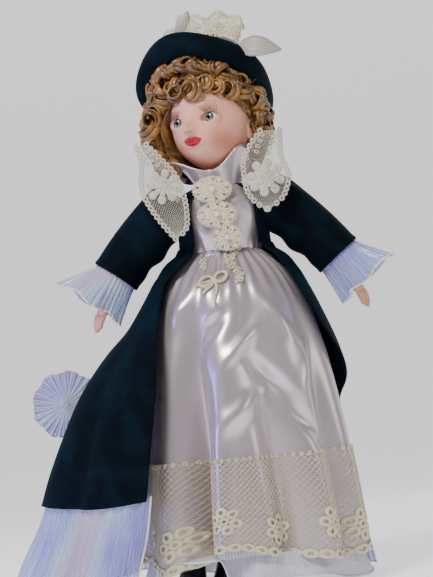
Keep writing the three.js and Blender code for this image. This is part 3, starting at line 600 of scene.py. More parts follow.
# ---------------------------------------------------------------------------------------------
# The coat's skirt. Three panels of bottle-green cotton velvet, gathered to the coat's waist, cut
# away in front to show the dress, and swinging out wide on her right over the ruffle below.
# ---------------------------------------------------------------------------------------------
def velvet(name, deep, lit, pile):
    """Cotton velvet: an upright pile that drinks light face on; the glow where it is seen edge on is a
    painted sheen in its colour.
    """
    made, tree = blank(name)
    place = node(tree, "TexCoord").outputs["Object"]
    crushed = node(tree, "TexNoise", {"Vector": place, "Scale": 34.0, "Detail": 4.0, "Distortion": 0.6})
    # Pile tufts are 0.3 mm apart, which is too fine to show, so specks of 0.8 mm are drawn.
    tufts = node(tree, "TexNoise", {"Vector": place, "Scale": 900.0, "Detail": 2.0})
    brushed = node(tree, "MapRange", {"Value": crushed.outputs[0], "From Min": 0.42, "From Max": 0.72})
    # The colour is made lighter where the velvet is seen edge on: a painted sheen, added to the crushed
    # pile's own mottle.
    edge_on_painted_sheen = node(tree, "LayerWeight", {"Blend": 0.35})
    crush_and_painted_sheen = node(tree, "Math", {0: brushed.outputs[0], 1: edge_on_painted_sheen.outputs["Facing"]}, operation="ADD")
    share = node(tree, "Math", {0: crush_and_painted_sheen.outputs[0], 1: 0.42}, operation="MULTIPLY", use_clamp=True)
    tint = node(tree, "Mix", {0: share.outputs[0], 6: colour(deep), 7: colour(lit)}, data_type="RGBA")
    fuzz = node(tree, "Bump", {"Height": tufts.outputs[0], "Strength": 0.5, "Distance": 0.0005})
    shader = node(tree, "BsdfPrincipled", {
        "Base Color": tint.outputs[2], "Roughness": 0.86, "Normal": fuzz.outputs[0],
        "Sheen Weight": 0.12, "Sheen Roughness": 0.3, "Sheen Tint": colour(pile),
        "Specular IOR Level": 0.08,
    })
    node(tree, "OutputMaterial", {"Surface": shader.outputs[0]})
    return made


GREEN_VELVET = velvet("Bottle_green_velvet", "#01070e", "#042431", "#1a5568")

COAT_WAIST = 262
COAT_HEM = 75.5
COAT_EASE = ((76, 15.6), (120, 14), (175, 11), (212, 8), (240, 9.4), (254, 12), (262, 8.8))
COAT_SWING = ((0, 0.60), (76, 0.58), (120, 0.50), (156, 0.41), (185, 0.27), (205, 0.13), (240, 0.03),
              (262, 0))
RIGHT_EDGE = ((-5, -84), (76, -74), (149, -62), (233, -50), (256, -26), (270, -24))
LEFT_EDGE = ((76, 58), (130, 38), (158, 4), (178, -22), (200, -31), (228, -31), (256, -18))
COAT_FOLDS = (
    (112, 9, -6, 240), (138, 10, 6, 240), (165, 8, -7, 240), (192, 10, 6, 240), (216, 8, -8, 240),
    (240, 11, 7, 235), (263, 7, -7, 225), (282, 9, 6, 235), (296, 4, -4, 215),
)


def coat_at(turn, z, out=0.0):
    """A point of the coat skirt's outside. The turn runs up from the front, leftwards round her."""
    angle = math.radians(turn)
    to_right = max(0, -math.sin(angle))
    to_back = max(0, -math.cos(angle))
    swing = line(COAT_SWING, z)
    radius = (line(SKIRT_LINE, z) + line(COAT_EASE, z)) * (
        1 + swing * to_right ** 2 + 0.27 * swing * to_back ** 2)
    drop = step(262, 60, z)
    for middle, half, depth, start in COAT_FOLDS:
        radius += depth * step(start, 76, z) ** 0.8 * bump(turn, middle, half * (1 + 0.5 * (1 - drop)))
    gather = math.cos(math.radians(turn * 30 + 50 * math.sin(math.radians(turn * 4))))
    radius += 1.2 * gather * step(222, 252, z) + out
    return radius * math.sin(angle), -radius * math.cos(angle) * squareness(z), z


def coat_edges(z):
    """The turns, in degrees, at which the coat ends at height z: her left edge and her right."""
    left, right = 70.0, 300.0
    for _ in range(6):
        x, y = coat_at(right, z)[:2]
        wide = math.hypot(x, y / squareness(z))
        right = 360 + math.degrees(math.asin(max(-1, line(RIGHT_EDGE, z) / wide)))
        x, y = coat_at(left, z)[:2]
        wide = math.hypot(x, y / squareness(z))
        left = math.degrees(math.acos(max(-1, min(1, -line(LEFT_EDGE, z) / squareness(z) / wide))))
    return left, right


def coat_panel(name, start, end, node_name, cut, across):
    """One panel of the coat skirt, from start to end of the way round it."""
    rows = 80
    edges = [coat_edges(mix(COAT_WAIST, COAT_HEM, row / rows)) for row in range(rows + 1)]

    def place(u, v):
        left, right = edges[round(v * rows)]
        share = mix(start, end, u)
        seam = -0.9 * (bump(u, 0, 0.012) * (start > 0) + bump(u, 1, 0.012) * (end < 1))
        hem = COAT_HEM + 2.5 * math.sin(share * 19) * step(0.1, 0.4, share)
        return coat_at(mix(left, right, share), mix(COAT_WAIST, hem, v), seam + 0.5 * bump(v, 1, 0.012))
    panel = cloth(name, cut, across, rows, place, thick=1.5)
    fit(panel, GREEN_VELVET, "velvet", "torso", node_name)
    return panel


coat_panel("coat_panel_left", 0.0, 0.28, "coat_skirt_left", (95, 190), 70)
coat_panel("coat_panel_back", 0.28, 0.56, "coat_skirt_back", (130, 205), 80)
coat_panel("coat_panel_right", 0.56, 1.0, "coat_skirt_right", (200, 215), 130)


# ---------------------------------------------------------------------------------------------
# The ruffle under the coat and the round fan at its side. Both are iridescent organza, pleated
# by hand and stitched inside the coat, and edged with a narrow satin-stitched hem.
# ---------------------------------------------------------------------------------------------
def organza(name, cover):
    """Iridescent polyester organza: crisp, sheer, and changing from lilac to sea green and rose."""
    made, tree = blank(name)
    place = node(tree, "TexCoord").outputs["Object"]
    uv = node(tree, "UVMap").outputs[0]
    drift = node(tree, "TexNoise", {"Vector": place, "Scale": 16.0, "Detail": 1.0, "Distortion": 0.8})
    cool = node(tree, "MapRange", {"Value": drift.outputs[0], "From Min": 0.38, "From Max": 0.6})
    warm = node(tree, "MapRange",
                {"Value": drift.outputs[0], "From Min": 0.6, "From Max": 0.7, "To Max": 0.6})
    lilac = node(tree, "Mix",
                 {0: cool.outputs[0], 6: colour("#9494e6"), 7: colour("#bfd8ee")}, data_type="RGBA")
    rose = node(tree, "Mix",
                {0: warm.outputs[0], 6: lilac.outputs[2], 7: colour("#e0b4d2")}, data_type="RGBA")
    threads = node(tree, "TexWave", {"Vector": uv, "Scale": 110.0, "Distortion": 2.5, "Detail": 2.0},
                   wave_type="BANDS", bands_direction="X")
    ribs = node(tree, "Bump", {"Height": threads.outputs["Fac"], "Strength": 0.5, "Distance": 0.0006})
    solid = node(tree, "MapRange",
                 {"Value": threads.outputs["Fac"], "To Min": cover - 0.2, "To Max": cover + 0.2})
    shader = node(tree, "BsdfPrincipled", {
        "Base Color": rose.outputs[2], "Roughness": 0.24, "Alpha": solid.outputs[0],
        "Normal": ribs.outputs[0], "Specular IOR Level": 0.9, "Sheen Weight": 0.3,
        "Sheen Tint": colour("#b9b4ff"),
    })
    node(tree, "OutputMaterial", {"Surface": shader.outputs[0]})
    return made


LILAC_ORGANZA = organza("Iridescent_organza", 0.56)

RUFFLE_LINE = ((3, 118), (24, 113), (50, 104), (77, 98))
ruffle_left, ruffle_right = coat_edges(80)


def ruffle_at(u, v):
    turn = mix(ruffle_left, ruffle_right, u)
    angle = math.radians(turn)
    hem = 3 + 5 * (1 - math.cos(u * 34))
    z = mix(79, hem, v)
    to_right, to_back = max(0, -math.sin(angle)), max(0, -math.cos(angle))
    radius = (line(RUFFLE_LINE, z) - 3) * (1 + 0.58 * to_right ** 2 + 0.16 * to_back ** 2)
    radius += 12 * bump(turn, 272, 9) * bump(z, 52, 26) * v
    for middle, half, depth, start in COAT_FOLDS:
        radius += depth * bump(turn, middle, half)
    pleat = math.sin(u * 2 * math.pi * 44 + 2.0 * math.sin(u * 23))
    radius += pleat * mix(1.2, 3.4, v)
    lean = 7 * v * math.sin(u * 60 + 0.6)
    angle += math.radians(lean * 0.35)
    return radius * math.sin(angle), -radius * math.cos(angle) * 0.92, z


ruffle = cloth("organza_ruffle", (900, 80), 620, 16, ruffle_at, thick=0.35)
fit(ruffle, LILAC_ORGANZA, "organza", "torso", "coat_hem_ruffle")
ruffle_hem = tube("ruffle_hem", lambda t: ruffle_at(t, 1.0), lambda t: 0.75, 500, 5, (0, 0, 1))
fit(ruffle_hem, WHITE_HEM, "organza", "torso")
ruffle_side = tube("ruffle_side_hem", lambda t: ruffle_at(1.0, t), lambda t: 0.75, 24, 5, (0, 1, 0))
fit(ruffle_side, WHITE_HEM, "organza", "torso")

fan_low, fan_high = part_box("side_flounce")
FAN_X = ((fan_low + fan_high) / 2 - spot(0, 0, 0)).x / MM
FAN_Y = ((fan_low + fan_high) / 2 - spot(0, 0, 0)).y / MM
FAN_Z = (fan_low.z + fan_high.z) / 2 / MM
FAN_RADIUS = (fan_high.z - fan_low.z) / 2 / MM


def fan_at(u, v):
    turn = -u * 2 * math.pi
    reach = mix(0.6, FAN_RADIUS + 0.8 * math.cos(turn * 9), v)
    pleat = math.sin(turn * 26) * 2.6 * v ** 1.2
    return (FAN_X + reach * math.cos(turn),
            FAN_Y - 6 * (1 - v) ** 2 + 2.0 * v + pleat + 0.2 * reach * math.cos(turn),
            FAN_Z - reach * math.sin(turn))


fan = cloth("organza_fan", (160, 26), 312, 14, fan_at, closed=True, thick=0.35)
fit(fan, LILAC_ORGANZA, "organza", "torso", "side_flounce")
fan_hem = tube("fan_hem", lambda t: fan_at(t, 1.0), lambda t: 0.55, 312, 5, (0, -1, 0.1))
fit(fan_hem, WHITE_HEM, "organza", "torso")


# ---------------------------------------------------------------------------------------------
# The dress bodice and collar. The same satin, cut close and darted, with a band collar that
# stands up in two soft wings and leaves a notch under the chin.
# ---------------------------------------------------------------------------------------------
BODICE_LINE = ((257, 27.3), (264, 28.6), (276, 31.2), (288, 32.6), (297, 30.5), (303, 24), (308, 18.2))


def bodice_at(u, v):
    turn = u * 2 * math.pi - math.pi
    z = mix(308, 257.2, v)
    radius = line(BODICE_LINE, z)
    front = max(0, math.cos(turn))
    radius += front * (0.8 * bump(z - 30 * math.sin(turn), 282, 5)
                       - 0.9 * bump(z + 40 * math.sin(turn), 276, 6))
    radius += 0.5 * math.cos(turn * 22) * step(268, 258, z)
    radius += 0.6 * math.cos(turn * 7 + z * 0.2)
    return radius * math.sin(turn), -radius * math.cos(turn) * mix(1.0, 0.75, step(308, 298, z)), z


bodice = cloth("satin_bodice", (190, 56), 160, 44, bodice_at, closed=True, thick=0.6)
fit(bodice, IVORY_SATIN, "satin", "torso", "dress_bodice")

COLLAR_NOTCH = -16


def collar_at(u, v):
    turn = COLLAR_NOTCH - 1 + u * 363
    near = (turn + 180) % 360 - 180
    angle = math.radians(turn)
    top = 319 + 18 * bump(near, 46, 30) + 12 * bump(near, -84, 34) + 8 * bump(abs(near), 180, 60)
    flare = 3 + 8 * bump(near, 55, 40) + 15 * bump(near, -78, 34) + 5 * bump(abs(near), 180, 60)
    rise = 1 - v
    radius = 17.4 + 0.9 * u + flare * rise ** 1.6 + 0.5 * math.cos(angle * 9) * rise
    return radius * math.sin(angle), -radius * math.cos(angle), mix(307.5, top, rise)


collar = cloth("satin_collar", (130, 22), 120, 14, collar_at, thick=1.1)
fit(collar, IVORY_SATIN, "satin", "torso", "dress_collar")


# ---------------------------------------------------------------------------------------------
# The three lace flowers down the bodice, each sewn on through a pearl bead, and the braid bow
# and lace streamer that hang from the waist. Cream cotton, worked in rounds.
# ---------------------------------------------------------------------------------------------
def where(node_name):
    """The middle of a frame piece in millimetres off the doll's axis, and its half size."""
    low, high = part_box(node_name)
    middle = ((low + high) / 2 - spot(0, 0, 0)) / MM
    return middle, (high - low) / 2 / MM


for place_name in ("top", "middle", "waist"):
    middle, half = where(f"lace_rosette_{place_name}")
    wide = 1.5 if place_name != "waist" else 1.15

    def rosette_at(u, v, out, middle=middle, wide=wide):
        x, dz = u * wide, -v
        reach = math.hypot(x, dz)
        return (middle.x + x, middle.y + 0.9 - out - 0.03 * reach + 0.012 * x * x
                - 0.5 * math.cos(math.atan2(dz, x) * 9) * reach / 10, middle.z + dz)
    rings = flower((0, 0), 9.8, 9, 0.3) + flower((0, 0), 6.2, 7, 0.1)
    rosette = worked(f"lace_flower_{place_name}", rosette_at, rings, 0.9, petal_pad)
    edging = []
    for i in range(26):
        angle = i * 2 * math.pi / 26
        edging.append((9.3 * math.cos(angle), 9.3 * math.sin(angle), 1.1, 1.1, 0.0))
    rosette = join(rosette, worked("rosette_edging", rosette_at, edging, 0.9))
    fit(rosette, CREAM_LACE, "lace", "torso", f"lace_rosette_{place_name}")

# Glass beads dipped in pearl essence: creamy, with a soft shine under a clear skin.
PEARL, tree = blank("Glass_pearl_bead")
skin = node(tree, "TexNoise", {"Vector": node(tree, "TexCoord").outputs["Object"], "Scale": 500.0})
tint = node(tree, "Mix", {0: skin.outputs[0], 6: colour("#ddd5dd"), 7: colour("#efe6ef")}, data_type="RGBA")
shader = node(tree, "BsdfPrincipled", {
    "Base Color": tint.outputs[2], "Roughness": 0.22, "Coat Weight": 0.7, "Coat Roughness": 0.08,
    "Subsurface Weight": 0.1, "Subsurface Scale": 0.001, "Sheen Weight": 0.3,
})
node(tree, "OutputMaterial", {"Surface": shader.outputs[0]})
for place_name in ("top", "middle", "waist"):
    middle, half = where(f"pearl_{place_name}")
    bpy.ops.object.select_all(action="DESELECT")
    bpy.ops.mesh.primitive_uv_sphere_add(segments=32, ring_count=20, radius=half.z * 1.08 * MM,
                                         location=spot(*middle))
    bead = bpy.context.object
    bead.name = f"pearl_bead_{place_name}"
    bpy.ops.object.transform_apply(location=True, rotation=False, scale=False)
    tidy(bead)
    fit(bead, PEARL, "pearl", "torso", f"pearl_{place_name}")

bow_middle = where("waist_bow")[0]


def on_skirt(x, z, out=0.0):
    """The point of the satin in front at x across and z up, or a little proud of it."""
    turn = math.degrees(math.asin(max(-0.99, min(0.99, x / line(SKIRT_LINE, z)))))
    return skirt_at(turn, z, out)


BOW_X, BOW_Z = bow_middle.x - 8, bow_middle.z + 4


def bow_loop(side, t):
    angle = t * 2 * math.pi
    return on_skirt(BOW_X + side * 7 * (1 - math.cos(angle)) * 0.62 + side * 1.0,
                    BOW_Z + 3.6 * math.sin(angle) + 2.6 * (1 - math.cos(angle)) * 0.5 * side,
                    3.2 - 1.2 * math.cos(angle))


braids = [tube(f"bow_loop_{side}", lambda t, side=side: bow_loop(side, t), lambda t: 1.15, 48, 8)
          for side in (-1, 1)]
for i, (x, z) in enumerate(((-7, -11), (1, -19), (-12, -4))):
    braids.append(tube(
        f"bow_tail_{i}",
        lambda t, x=x, z=z: on_skirt(BOW_X + x * t + 1.6 * math.sin(t * 5), BOW_Z + z * t, 2.0),
        lambda t: 1.05, 30, 8))
bow = join(*braids)
bow.name = "braid_bow"

streamer_rings = []
for i in range(17):
    sway = 3.4 * math.sin(i * 0.55)
    streamer_rings.append((sway + 1.6 * (-1) ** i, i * 2.2, 2.0, 1.7, i * 0.8))
    streamer_rings.append((sway - 1.4 * (-1) ** i, i * 2.2 + 1.1, 1.4, 1.3, i * 1.3))
streamer = worked("lace_streamer", lambda u, v, out: on_skirt(5 + u, 266 - v, 1.2 + out),
                  streamer_rings, 0.8)
tatters = worked("lace_tatter", lambda u, v, out: on_skirt(-17.5 + u, 250 - v, 1.2 + out),
                 [(0.6 * (-1) ** i, i * 1.7, 1.7, 1.5, i) for i in range(5)], 0.8)
bow = join(bow, streamer, tatters)
fit(bow, CREAM_LACE, "lace", "torso", "waist_bow")


# ---------------------------------------------------------------------------------------------
# The coat's bodice and its lapels. The velvet is cut open in front to show the satin. Each lapel
# is one wide piece of white lace with a large open flower and a scalloped edge, left to stand.
# ---------------------------------------------------------------------------------------------
def coat_top_at(u, v):
    z = mix(309, 261, v)
    open_left = math.degrees(math.asin(min(0.99, mix(0.66, 0.74, v))))
    open_right = math.degrees(math.asin(min(0.99, mix(0.72, 0.66, v))))
    angle = math.radians(mix(open_left, 360 - open_right, u))
    radius = line(((260, 35.5), (275, 35.8), (290, 36), (300, 34), (305, 29), (309, 21)), z)
    radius += (0.5 * math.cos(angle * 17) * step(270, 262, z)
               + 0.7 * bump(u, 0, 0.01) + 0.7 * bump(u, 1, 0.01))
    return radius * math.sin(angle), -radius * math.cos(angle) * 0.77, z


coat_top = cloth("velvet_coat_bodice", (170, 52), 150, 40, coat_top_at, thick=1.6)
fit(coat_top, GREEN_VELVET, "velvet", "torso", "coat_bodice")

# Each lapel: its node, the flower's middle, petal reach, and its left and right edges by height.
LAPELS = (
    ("right", (-42.5, 308.5), 13.5,
     ((268, -38), (276, -44), (290, -53), (303, -59), (315, -60.5), (327, -59), (343, -62)),
     ((268, -36), (274, -28), (290, -26), (303, -27.5), (315, -31), (327, -39), (343, -52))),
    ("left", (35.7, 308), 14.5,
     ((284, 33), (290, 25), (300, 19.5), (312, 18.5), (323, 19), (333, 24), (345, 34)),
     ((284, 36), (290, 46), (300, 52), (310, 54), (322, 50), (333, 50), (345, 51))),
)
for side, centre, reach, left_edge, right_edge in LAPELS:
    foot, top = left_edge[0][0], left_edge[-1][0]
    middle_x = centre[0]

    def lapel_depth(x, z, middle_x=middle_x, foot=foot, top=top):
        lift = (z - foot) / (top - foot)
        curl = 0.011 * (x - middle_x) ** 2 * (0.5 + lift)
        wave = 0.9 * math.sin(x * 0.32 + z * 0.1) + 0.8 * math.sin(z * 0.23)
        return -31.5 + curl + wave + 5 * step(0.6, 1, lift) * lift

    def lapel_at(u, v, out=0.0):
        """Lace pads go by u across the doll and v downwards, in millimetres."""
        return u, lapel_depth(u, -v) - out, -v

    def outline(u, v, left_edge=left_edge, right_edge=right_edge, foot=foot, top=top):
        z = mix(top, foot, v)
        x = mix(line(left_edge, z), line(right_edge, z), u)
        return x, lapel_depth(x, z), z

    lace = net(f"lace_lapel_net_{side}", 34, top - foot, 2.3, outline, 0.42)
    petals = [(centre[0], -centre[1], 3.2, 3.2, 0.0)]
    for i in range(8):
        angle = i * 2 * math.pi / 8 + 0.2
        petals.append((centre[0] + 0.48 * reach * math.cos(angle),
                       -centre[1] + 0.48 * reach * math.sin(angle),
                       0.34 * reach, 0.15 * reach, angle))
        petals.append((centre[0] + 0.76 * reach * math.cos(angle),
                       -centre[1] + 0.76 * reach * math.sin(angle),
                       0.26 * reach, 0.24 * reach, angle))
    rings = []
    steps = round((top - foot) / 3.6)
    for i in range(steps + 1):
        z = mix(foot, top, i / steps)
        for edge, inward in ((left_edge, 1), (right_edge, -1)):
            rings.append((line(edge, z) + 0.9 * inward, -z, 2.2, 2.3, 0.0))
    for i in range(4):
        z = mix(centre[1] + reach + 6, top - 3, i / 3)
        x = (line(left_edge, z) + line(right_edge, z)) / 2
        rings += [(x - 5, -z, 2.2, 1.6, 0.5), (x + 4, -z + 2, 2.4, 1.7, -0.4)]
    lace = join(lace, worked(f"lapel_pads_{side}", lapel_at, rings, 0.7),
                worked(f"lapel_petals_{side}", lapel_at, petals, 0.8, petal_pad))
    lace.name = f"lace_lapel_flower_{side}"
    fit(lace, WHITE_LACE, "lace", "torso", f"lace_lapel_{side}")


# ---------------------------------------------------------------------------------------------
# The sleeves and cuffs. Full velvet sleeves set in with a little gathering at the shoulder, and
# a flared cuff of organza pleated into each wrist, with a satin-stitched edge.
# ---------------------------------------------------------------------------------------------
SHOULDER_X, SHOULDER_Z = 38, 297
SLEEVE_END, CUFF_LENGTH = (87, 246.5), 29
SLEEVE_BOW = (66, 273)


def sleeve_middle(t):
    """The middle of her left sleeve in x and z, at t from the shoulder to its open end."""
    start = (SHOULDER_X - 3, SHOULDER_Z + 2)
    return tuple((1 - t) ** 2 * start[i] + 2 * t * (1 - t) * SLEEVE_BOW[i] + t * t * SLEEVE_END[i]
                 for i in (0, 1))


def sleeve_at(u, t, side):
    """A point of a sleeve. At u = 0.25 it is on top, at 0.5 behind and at 0 in front."""
    x, z = sleeve_middle(t)
    ahead_x, ahead_z = (b - a for a, b in zip(sleeve_middle(t - 0.01), sleeve_middle(t + 0.01)))
    length = math.hypot(ahead_x, ahead_z)
    over_x, over_z = -ahead_z / length, ahead_x / length
    angle = u * 2 * math.pi
    radius = line(((0, 19.5), (0.12, 21), (0.45, 20.6), (0.8, 19.6), (1, 18.9)), t)
    radius += 0.8 * math.cos(angle * 13 + side) * step(0.3, 0.02, t)
    radius += (1.1 * math.sin(t * 17 + 2.2 * math.sin(angle + side)) * bump(t, 0.55, 0.3)
               * max(0, -math.sin(angle) + 0.4))
    radius += 0.6 * bump(t, 0.98, 0.03)
    rise = radius * math.sin(angle)
    return side * (x + over_x * rise), -radius * math.cos(angle) * 0.97, z + over_z * rise


def cuff_at(u, t, side):
    """A point of a cuff, flared most on its upper side, with pleats that open to its edge."""
    x0, z0 = SLEEVE_END
    dx, dz = 0.52, -0.854
    angle = u * 2 * math.pi
    upper = math.sin(angle)
    edge = 26 + 9 * upper + 3.2 * math.cos(angle * 5 + side) + 1.6 * math.sin(angle * 9)
    radius = mix(17.2, edge, t ** 1.1) + 0.7 * math.sin(angle * 34) * (0.4 + t)
    length = CUFF_LENGTH * (1 - 0.12 * upper) * t - 1.5 + 1.6 * t * math.sin(angle * 5 + 1)
    rise = radius * upper
    return (side * (x0 + dx * length - dz * rise), -radius * math.cos(angle) * 0.97,
            z0 + dz * length + dx * rise)


for side_name, side in (("right", -1), ("left", 1)):
    turn_way = side
    sleeve = cloth(f"{side_name}_velvet_sleeve", (128, 74), 120, 64,
                   lambda u, v: sleeve_at(u * turn_way, v, side), closed=True, thick=1.4)
    fit(sleeve, GREEN_VELVET, "velvet", f"{side_name}_arm", f"{side_name}_sleeve")
    cuff = cloth(f"{side_name}_organza_cuff", (190, 30), 300, 18,
                 lambda u, v: cuff_at(u * turn_way, v, side), closed=True, thick=0.35)
    fit(cuff, LILAC_ORGANZA, "organza", f"{side_name}_arm", f"{side_name}_cuff")
    cuff_hem = tube(f"{side_name}_cuff_hem", lambda t: cuff_at(t, 1.0, side), lambda t: 0.7,
                    240, 6, (1, 0, 0.3))
    fit(cuff_hem, WHITE_HEM, "organza", f"{side_name}_arm")


# ---------------------------------------------------------------------------------------------
# The forearms and hands. Slip-cast bisque, poured in one, with the fingers held together and a
# little bent, the nails a touch pinker, and the skin tone fired in.
# ---------------------------------------------------------------------------------------------
def bisque(name):
    """Bisque porcelain: unglazed, fine grained and matt, with painted blush, lips and brows."""
    made, tree = blank(name)
    place = node(tree, "TexCoord").outputs["Object"]
    cloudy = node(tree, "TexNoise", {"Vector": place, "Scale": 45.0, "Detail": 2.0})
    grain = node(tree, "TexNoise", {"Vector": place, "Scale": 1800.0, "Detail": 2.0})
    skin = node(tree, "Mix",
                {0: cloudy.outputs[0], 6: colour("#e4ab93"), 7: colour("#d69a82")}, data_type="RGBA")
    paints = (("blush", "#b5492f", 0.7), ("shade", "#8f5a4a", 0.8), ("brow", "#6a4430", 0.85),
              ("lips", "#a81408", 1.0))
    tint = skin.outputs[2]
    for attribute, paint, cover in paints:
        painted = node(tree, "Attribute", attribute_name=attribute)
        share = node(tree, "Math", {0: painted.outputs["Fac"], 1: cover}, operation="MULTIPLY")
        tint = node(tree, "Mix",
                    {0: share.outputs[0], 6: tint, 7: colour(paint)}, data_type="RGBA").outputs[2]
    glossy = node(tree, "Attribute", attribute_name="lips")
    rough = node(tree, "MapRange", {"Value": glossy.outputs["Fac"], "To Min": 0.5, "To Max": 0.18})
    pores = node(tree, "Bump", {"Height": grain.outputs[0], "Strength": 0.08, "Distance": 0.0002})
    shader = node(tree, "BsdfPrincipled", {
        "Base Color": tint, "Roughness": rough.outputs[0], "Normal": pores.outputs[0],
        "Subsurface Weight": 0.12, "Subsurface Radius": (0.004, 0.0015, 0.001), "Subsurface Scale": 0.6,
        "Specular IOR Level": 0.42,
    })
    node(tree, "OutputMaterial", {"Surface": shader.outputs[0]})
    return made


BISQUE = bisque("Painted_bisque_porcelain")


def paint(piece, name, amount):
    """Paints a piece by a rule: amount(point in millimetres off the axis) from 0 to 1."""
    layer = piece.data.attributes.new(name, "FLOAT", "POINT")
    for vertex in piece.data.vertices:
        layer.data[vertex.index].value = amount((vertex.co - spot(0, 0, 0)) / MM)


def hand(side_name, side):
    """One forearm and hand, made of tapered limbs that are then fused and smoothed like clay."""
    elbow, wrist = Vector((74, -0.4, 261)), Vector((96, -6, 224.5))
    down = (wrist - elbow).normalized()
    broad = down.cross(Vector((0.75, -0.62, 0.2))).normalized()
    flat = broad.cross(down).normalized()

    def mirrored(point):
        return side * point.x, point.y, point.z
    limbs = [tube("forearm", lambda t: mirrored(elbow.lerp(wrist, t)),
                  lambda t: line(((0, 0.3), (0.04, 6.6), (0.5, 6.9), (0.85, 4.9), (0.97, 4.4),
                                  (1, 0.3)), t),
                  40, 20)]
    palm = wrist + down * 5.5
    for i, (aside, thick) in enumerate(((-3.0, 2.7), (0.0, 3.0), (3.0, 2.7))):
        limbs.append(tube(
            f"palm_{i}",
            lambda t, aside=aside: mirrored(
                wrist + down * (10.5 * t - 1.5) + broad * aside * (0.6 + 0.5 * t)),
            lambda t, thick=thick: line(((0, 0.3), (0.1, thick), (0.9, thick * 0.92), (1, 0.3)), t),
            16, 14))
    fingers = ((-4.6, 12.0, 2.2), (-1.6, 14.5, 2.6), (1.5, 13.8, 2.6), (4.4, 11.2, 2.2))
    for i, (aside, long, bend) in enumerate(fingers):
        limbs.append(tube(
            f"finger_{i}",
            lambda t, aside=aside, long=long, bend=bend: mirrored(
                palm + down * (2.5 + long * t) + broad * aside * (1 - 0.18 * t)
                + flat * bend * t * t * -1.5),
            lambda t: line(((0, 0.3), (0.08, 1.85), (0.6, 1.65), (0.9, 1.3), (1, 0.25)), t), 20, 12))
    limbs.append(tube(
        "thumb",
        lambda t: mirrored(wrist + down * (1 + 9.5 * t) + broad * (-3.6 - 3.4 * math.sin(t * 2.2))
                           + flat * (-1.2 - 2 * t)),
        lambda t: line(((0, 0.3), (0.1, 1.9), (0.6, 1.65), (0.9, 1.2), (1, 0.25)), t), 18, 12))
    made = join(*limbs)
    made.name = f"{side_name}_bisque_hand"
    apply(made, "REMESH", mode="VOXEL", voxel_size=0.42 * MM, use_smooth_shade=True)
    apply(made, "SMOOTH", factor=0.5, iterations=5)
    paint(made, "blush", lambda point: 0.55 * step(212, 204, point.z))
    return fit(made, BISQUE, "bisque", f"{side_name}_arm", f"{side_name}_forearm")


hand("right", -1)
hand("left", 1)


# ---------------------------------------------------------------------------------------------
# The head. Slip-cast bisque with the face cleaned up by hand: full cheeks, a short nose, parted
# heart-shaped lips, and almond eye holes cut so that glass eyes could be set in from behind.
# ---------------------------------------------------------------------------------------------
HEAD_TURN = math.radians(-31)
NECK_FOOT = 310
SKULL_MIDDLE, SKULL_HALF = 52, (31.5, 36.5, 40)
EYE_RADIUS = 8.0
EYE_X, EYE_Y, EYE_Z = 14.4, -23.3, 48
LID_HALF = 6.3
MOUTH_Z = 32.0
MOUTH_HALF = 8.9


def on_head(x, y, z):
    """A point given in the head's own millimetres: x to her left, y behind her, z above her neck."""
    return (x * math.cos(HEAD_TURN) - y * math.sin(HEAD_TURN),
            x * math.sin(HEAD_TURN) + y * math.cos(HEAD_TURN), z + NECK_FOOT)


def off_head(point):
    """The head's own millimetres of a point in millimetres off the doll's axis."""
    return Vector((point.x * math.cos(HEAD_TURN) + point.y * math.sin(HEAD_TURN),
                   -point.x * math.sin(HEAD_TURN) + point.y * math.cos(HEAD_TURN), point.z - NECK_FOOT))


def arch(x, half, height, sharp=0.5):
    """The height of an arch over x, from nothing at its half width to its full height."""
    return height * max(0, 1 - (x / half) ** 2) ** sharp


def lip_edges(x):
    """Heights of the top of the upper lip, of the line between the lips, and of the bottom."""
    middle = MOUTH_Z - 0.5 + 0.7 * abs(x / MOUTH_HALF) ** 2
    cupid = arch(x, MOUTH_HALF, 3.5, 0.9) * (1 - 0.35 * bump(x, 0, 1.4))
    return middle + cupid, middle, middle - arch(x, 0.84 * MOUTH_HALF, 3.7, 0.65)


def lid_gap(x, z):
    """How far inside the nearer eye hole a point of the face is, in millimetres; below 0 outside."""
    across = abs(x) - EYE_X
    level = z - EYE_Z - 0.07 * across
    return min(arch(across, LID_HALF, 3.9, 0.55) - level, level + arch(across, LID_HALF, 2.7, 0.6))


def face_forward(x, z):
    """How far the features stand out from the plain skull at x and z, in millimetres."""
    side = abs(x)
    below = step(36.3, 38.6, z)
    nose = bump(x, 0, 3.0) * step(57, 43, z) * 2.6 * below
    nose += bump(x, 0, 3.9) * 5.0 * (bump(z, 41.2, 4.6) if z > 41.2 else 1) * below
    nose += 2.0 * bump(side, 3.9, 1.7) * bump(z, 39.8, 2.0) * step(37.2, 38.6, z)
    nose -= 1.5 * bump(side, 2.1, 0.8) * bump(z, 38.0, 0.8)
    top, middle, bottom = lip_edges(x)
    mouth = 2.4 * bump(x, 0, 10) * bump(z, MOUTH_Z - 1, 7.5)
    if side < MOUTH_HALF and bottom < z < top:
        edge, most = (top, 1.5) if z > middle else (bottom, 1.9)
        level = (z - (edge + middle) / 2) / (abs(edge - middle) + 0.01) * 2
        mouth += most * (1 - (side / 9.1) ** 2) * math.sqrt(max(0, 1 - level ** 2))
    mouth -= 0.5 * bump(x, 0, 1.0) * bump(z, 36.4, 1.3)
    mouth -= 0.9 * bump(x, 0, 6) * bump(z, 26.6, 1.6)
    cheek = 2.4 * bump(side, 16.5, 9.5) * bump(z, 31, 10)
    chin = 3.6 * bump(x, 0, 8.5) * bump(z, 20.5, 6)
    socket = -2.2 * bump(side, 12.5, 7.5) * bump(z, 49.5, 6.5)
    brow = 0.8 * bump(side, 14, 8) * bump(z, 58.5, 3)
    return nose + mouth + cheek + chin + socket + brow


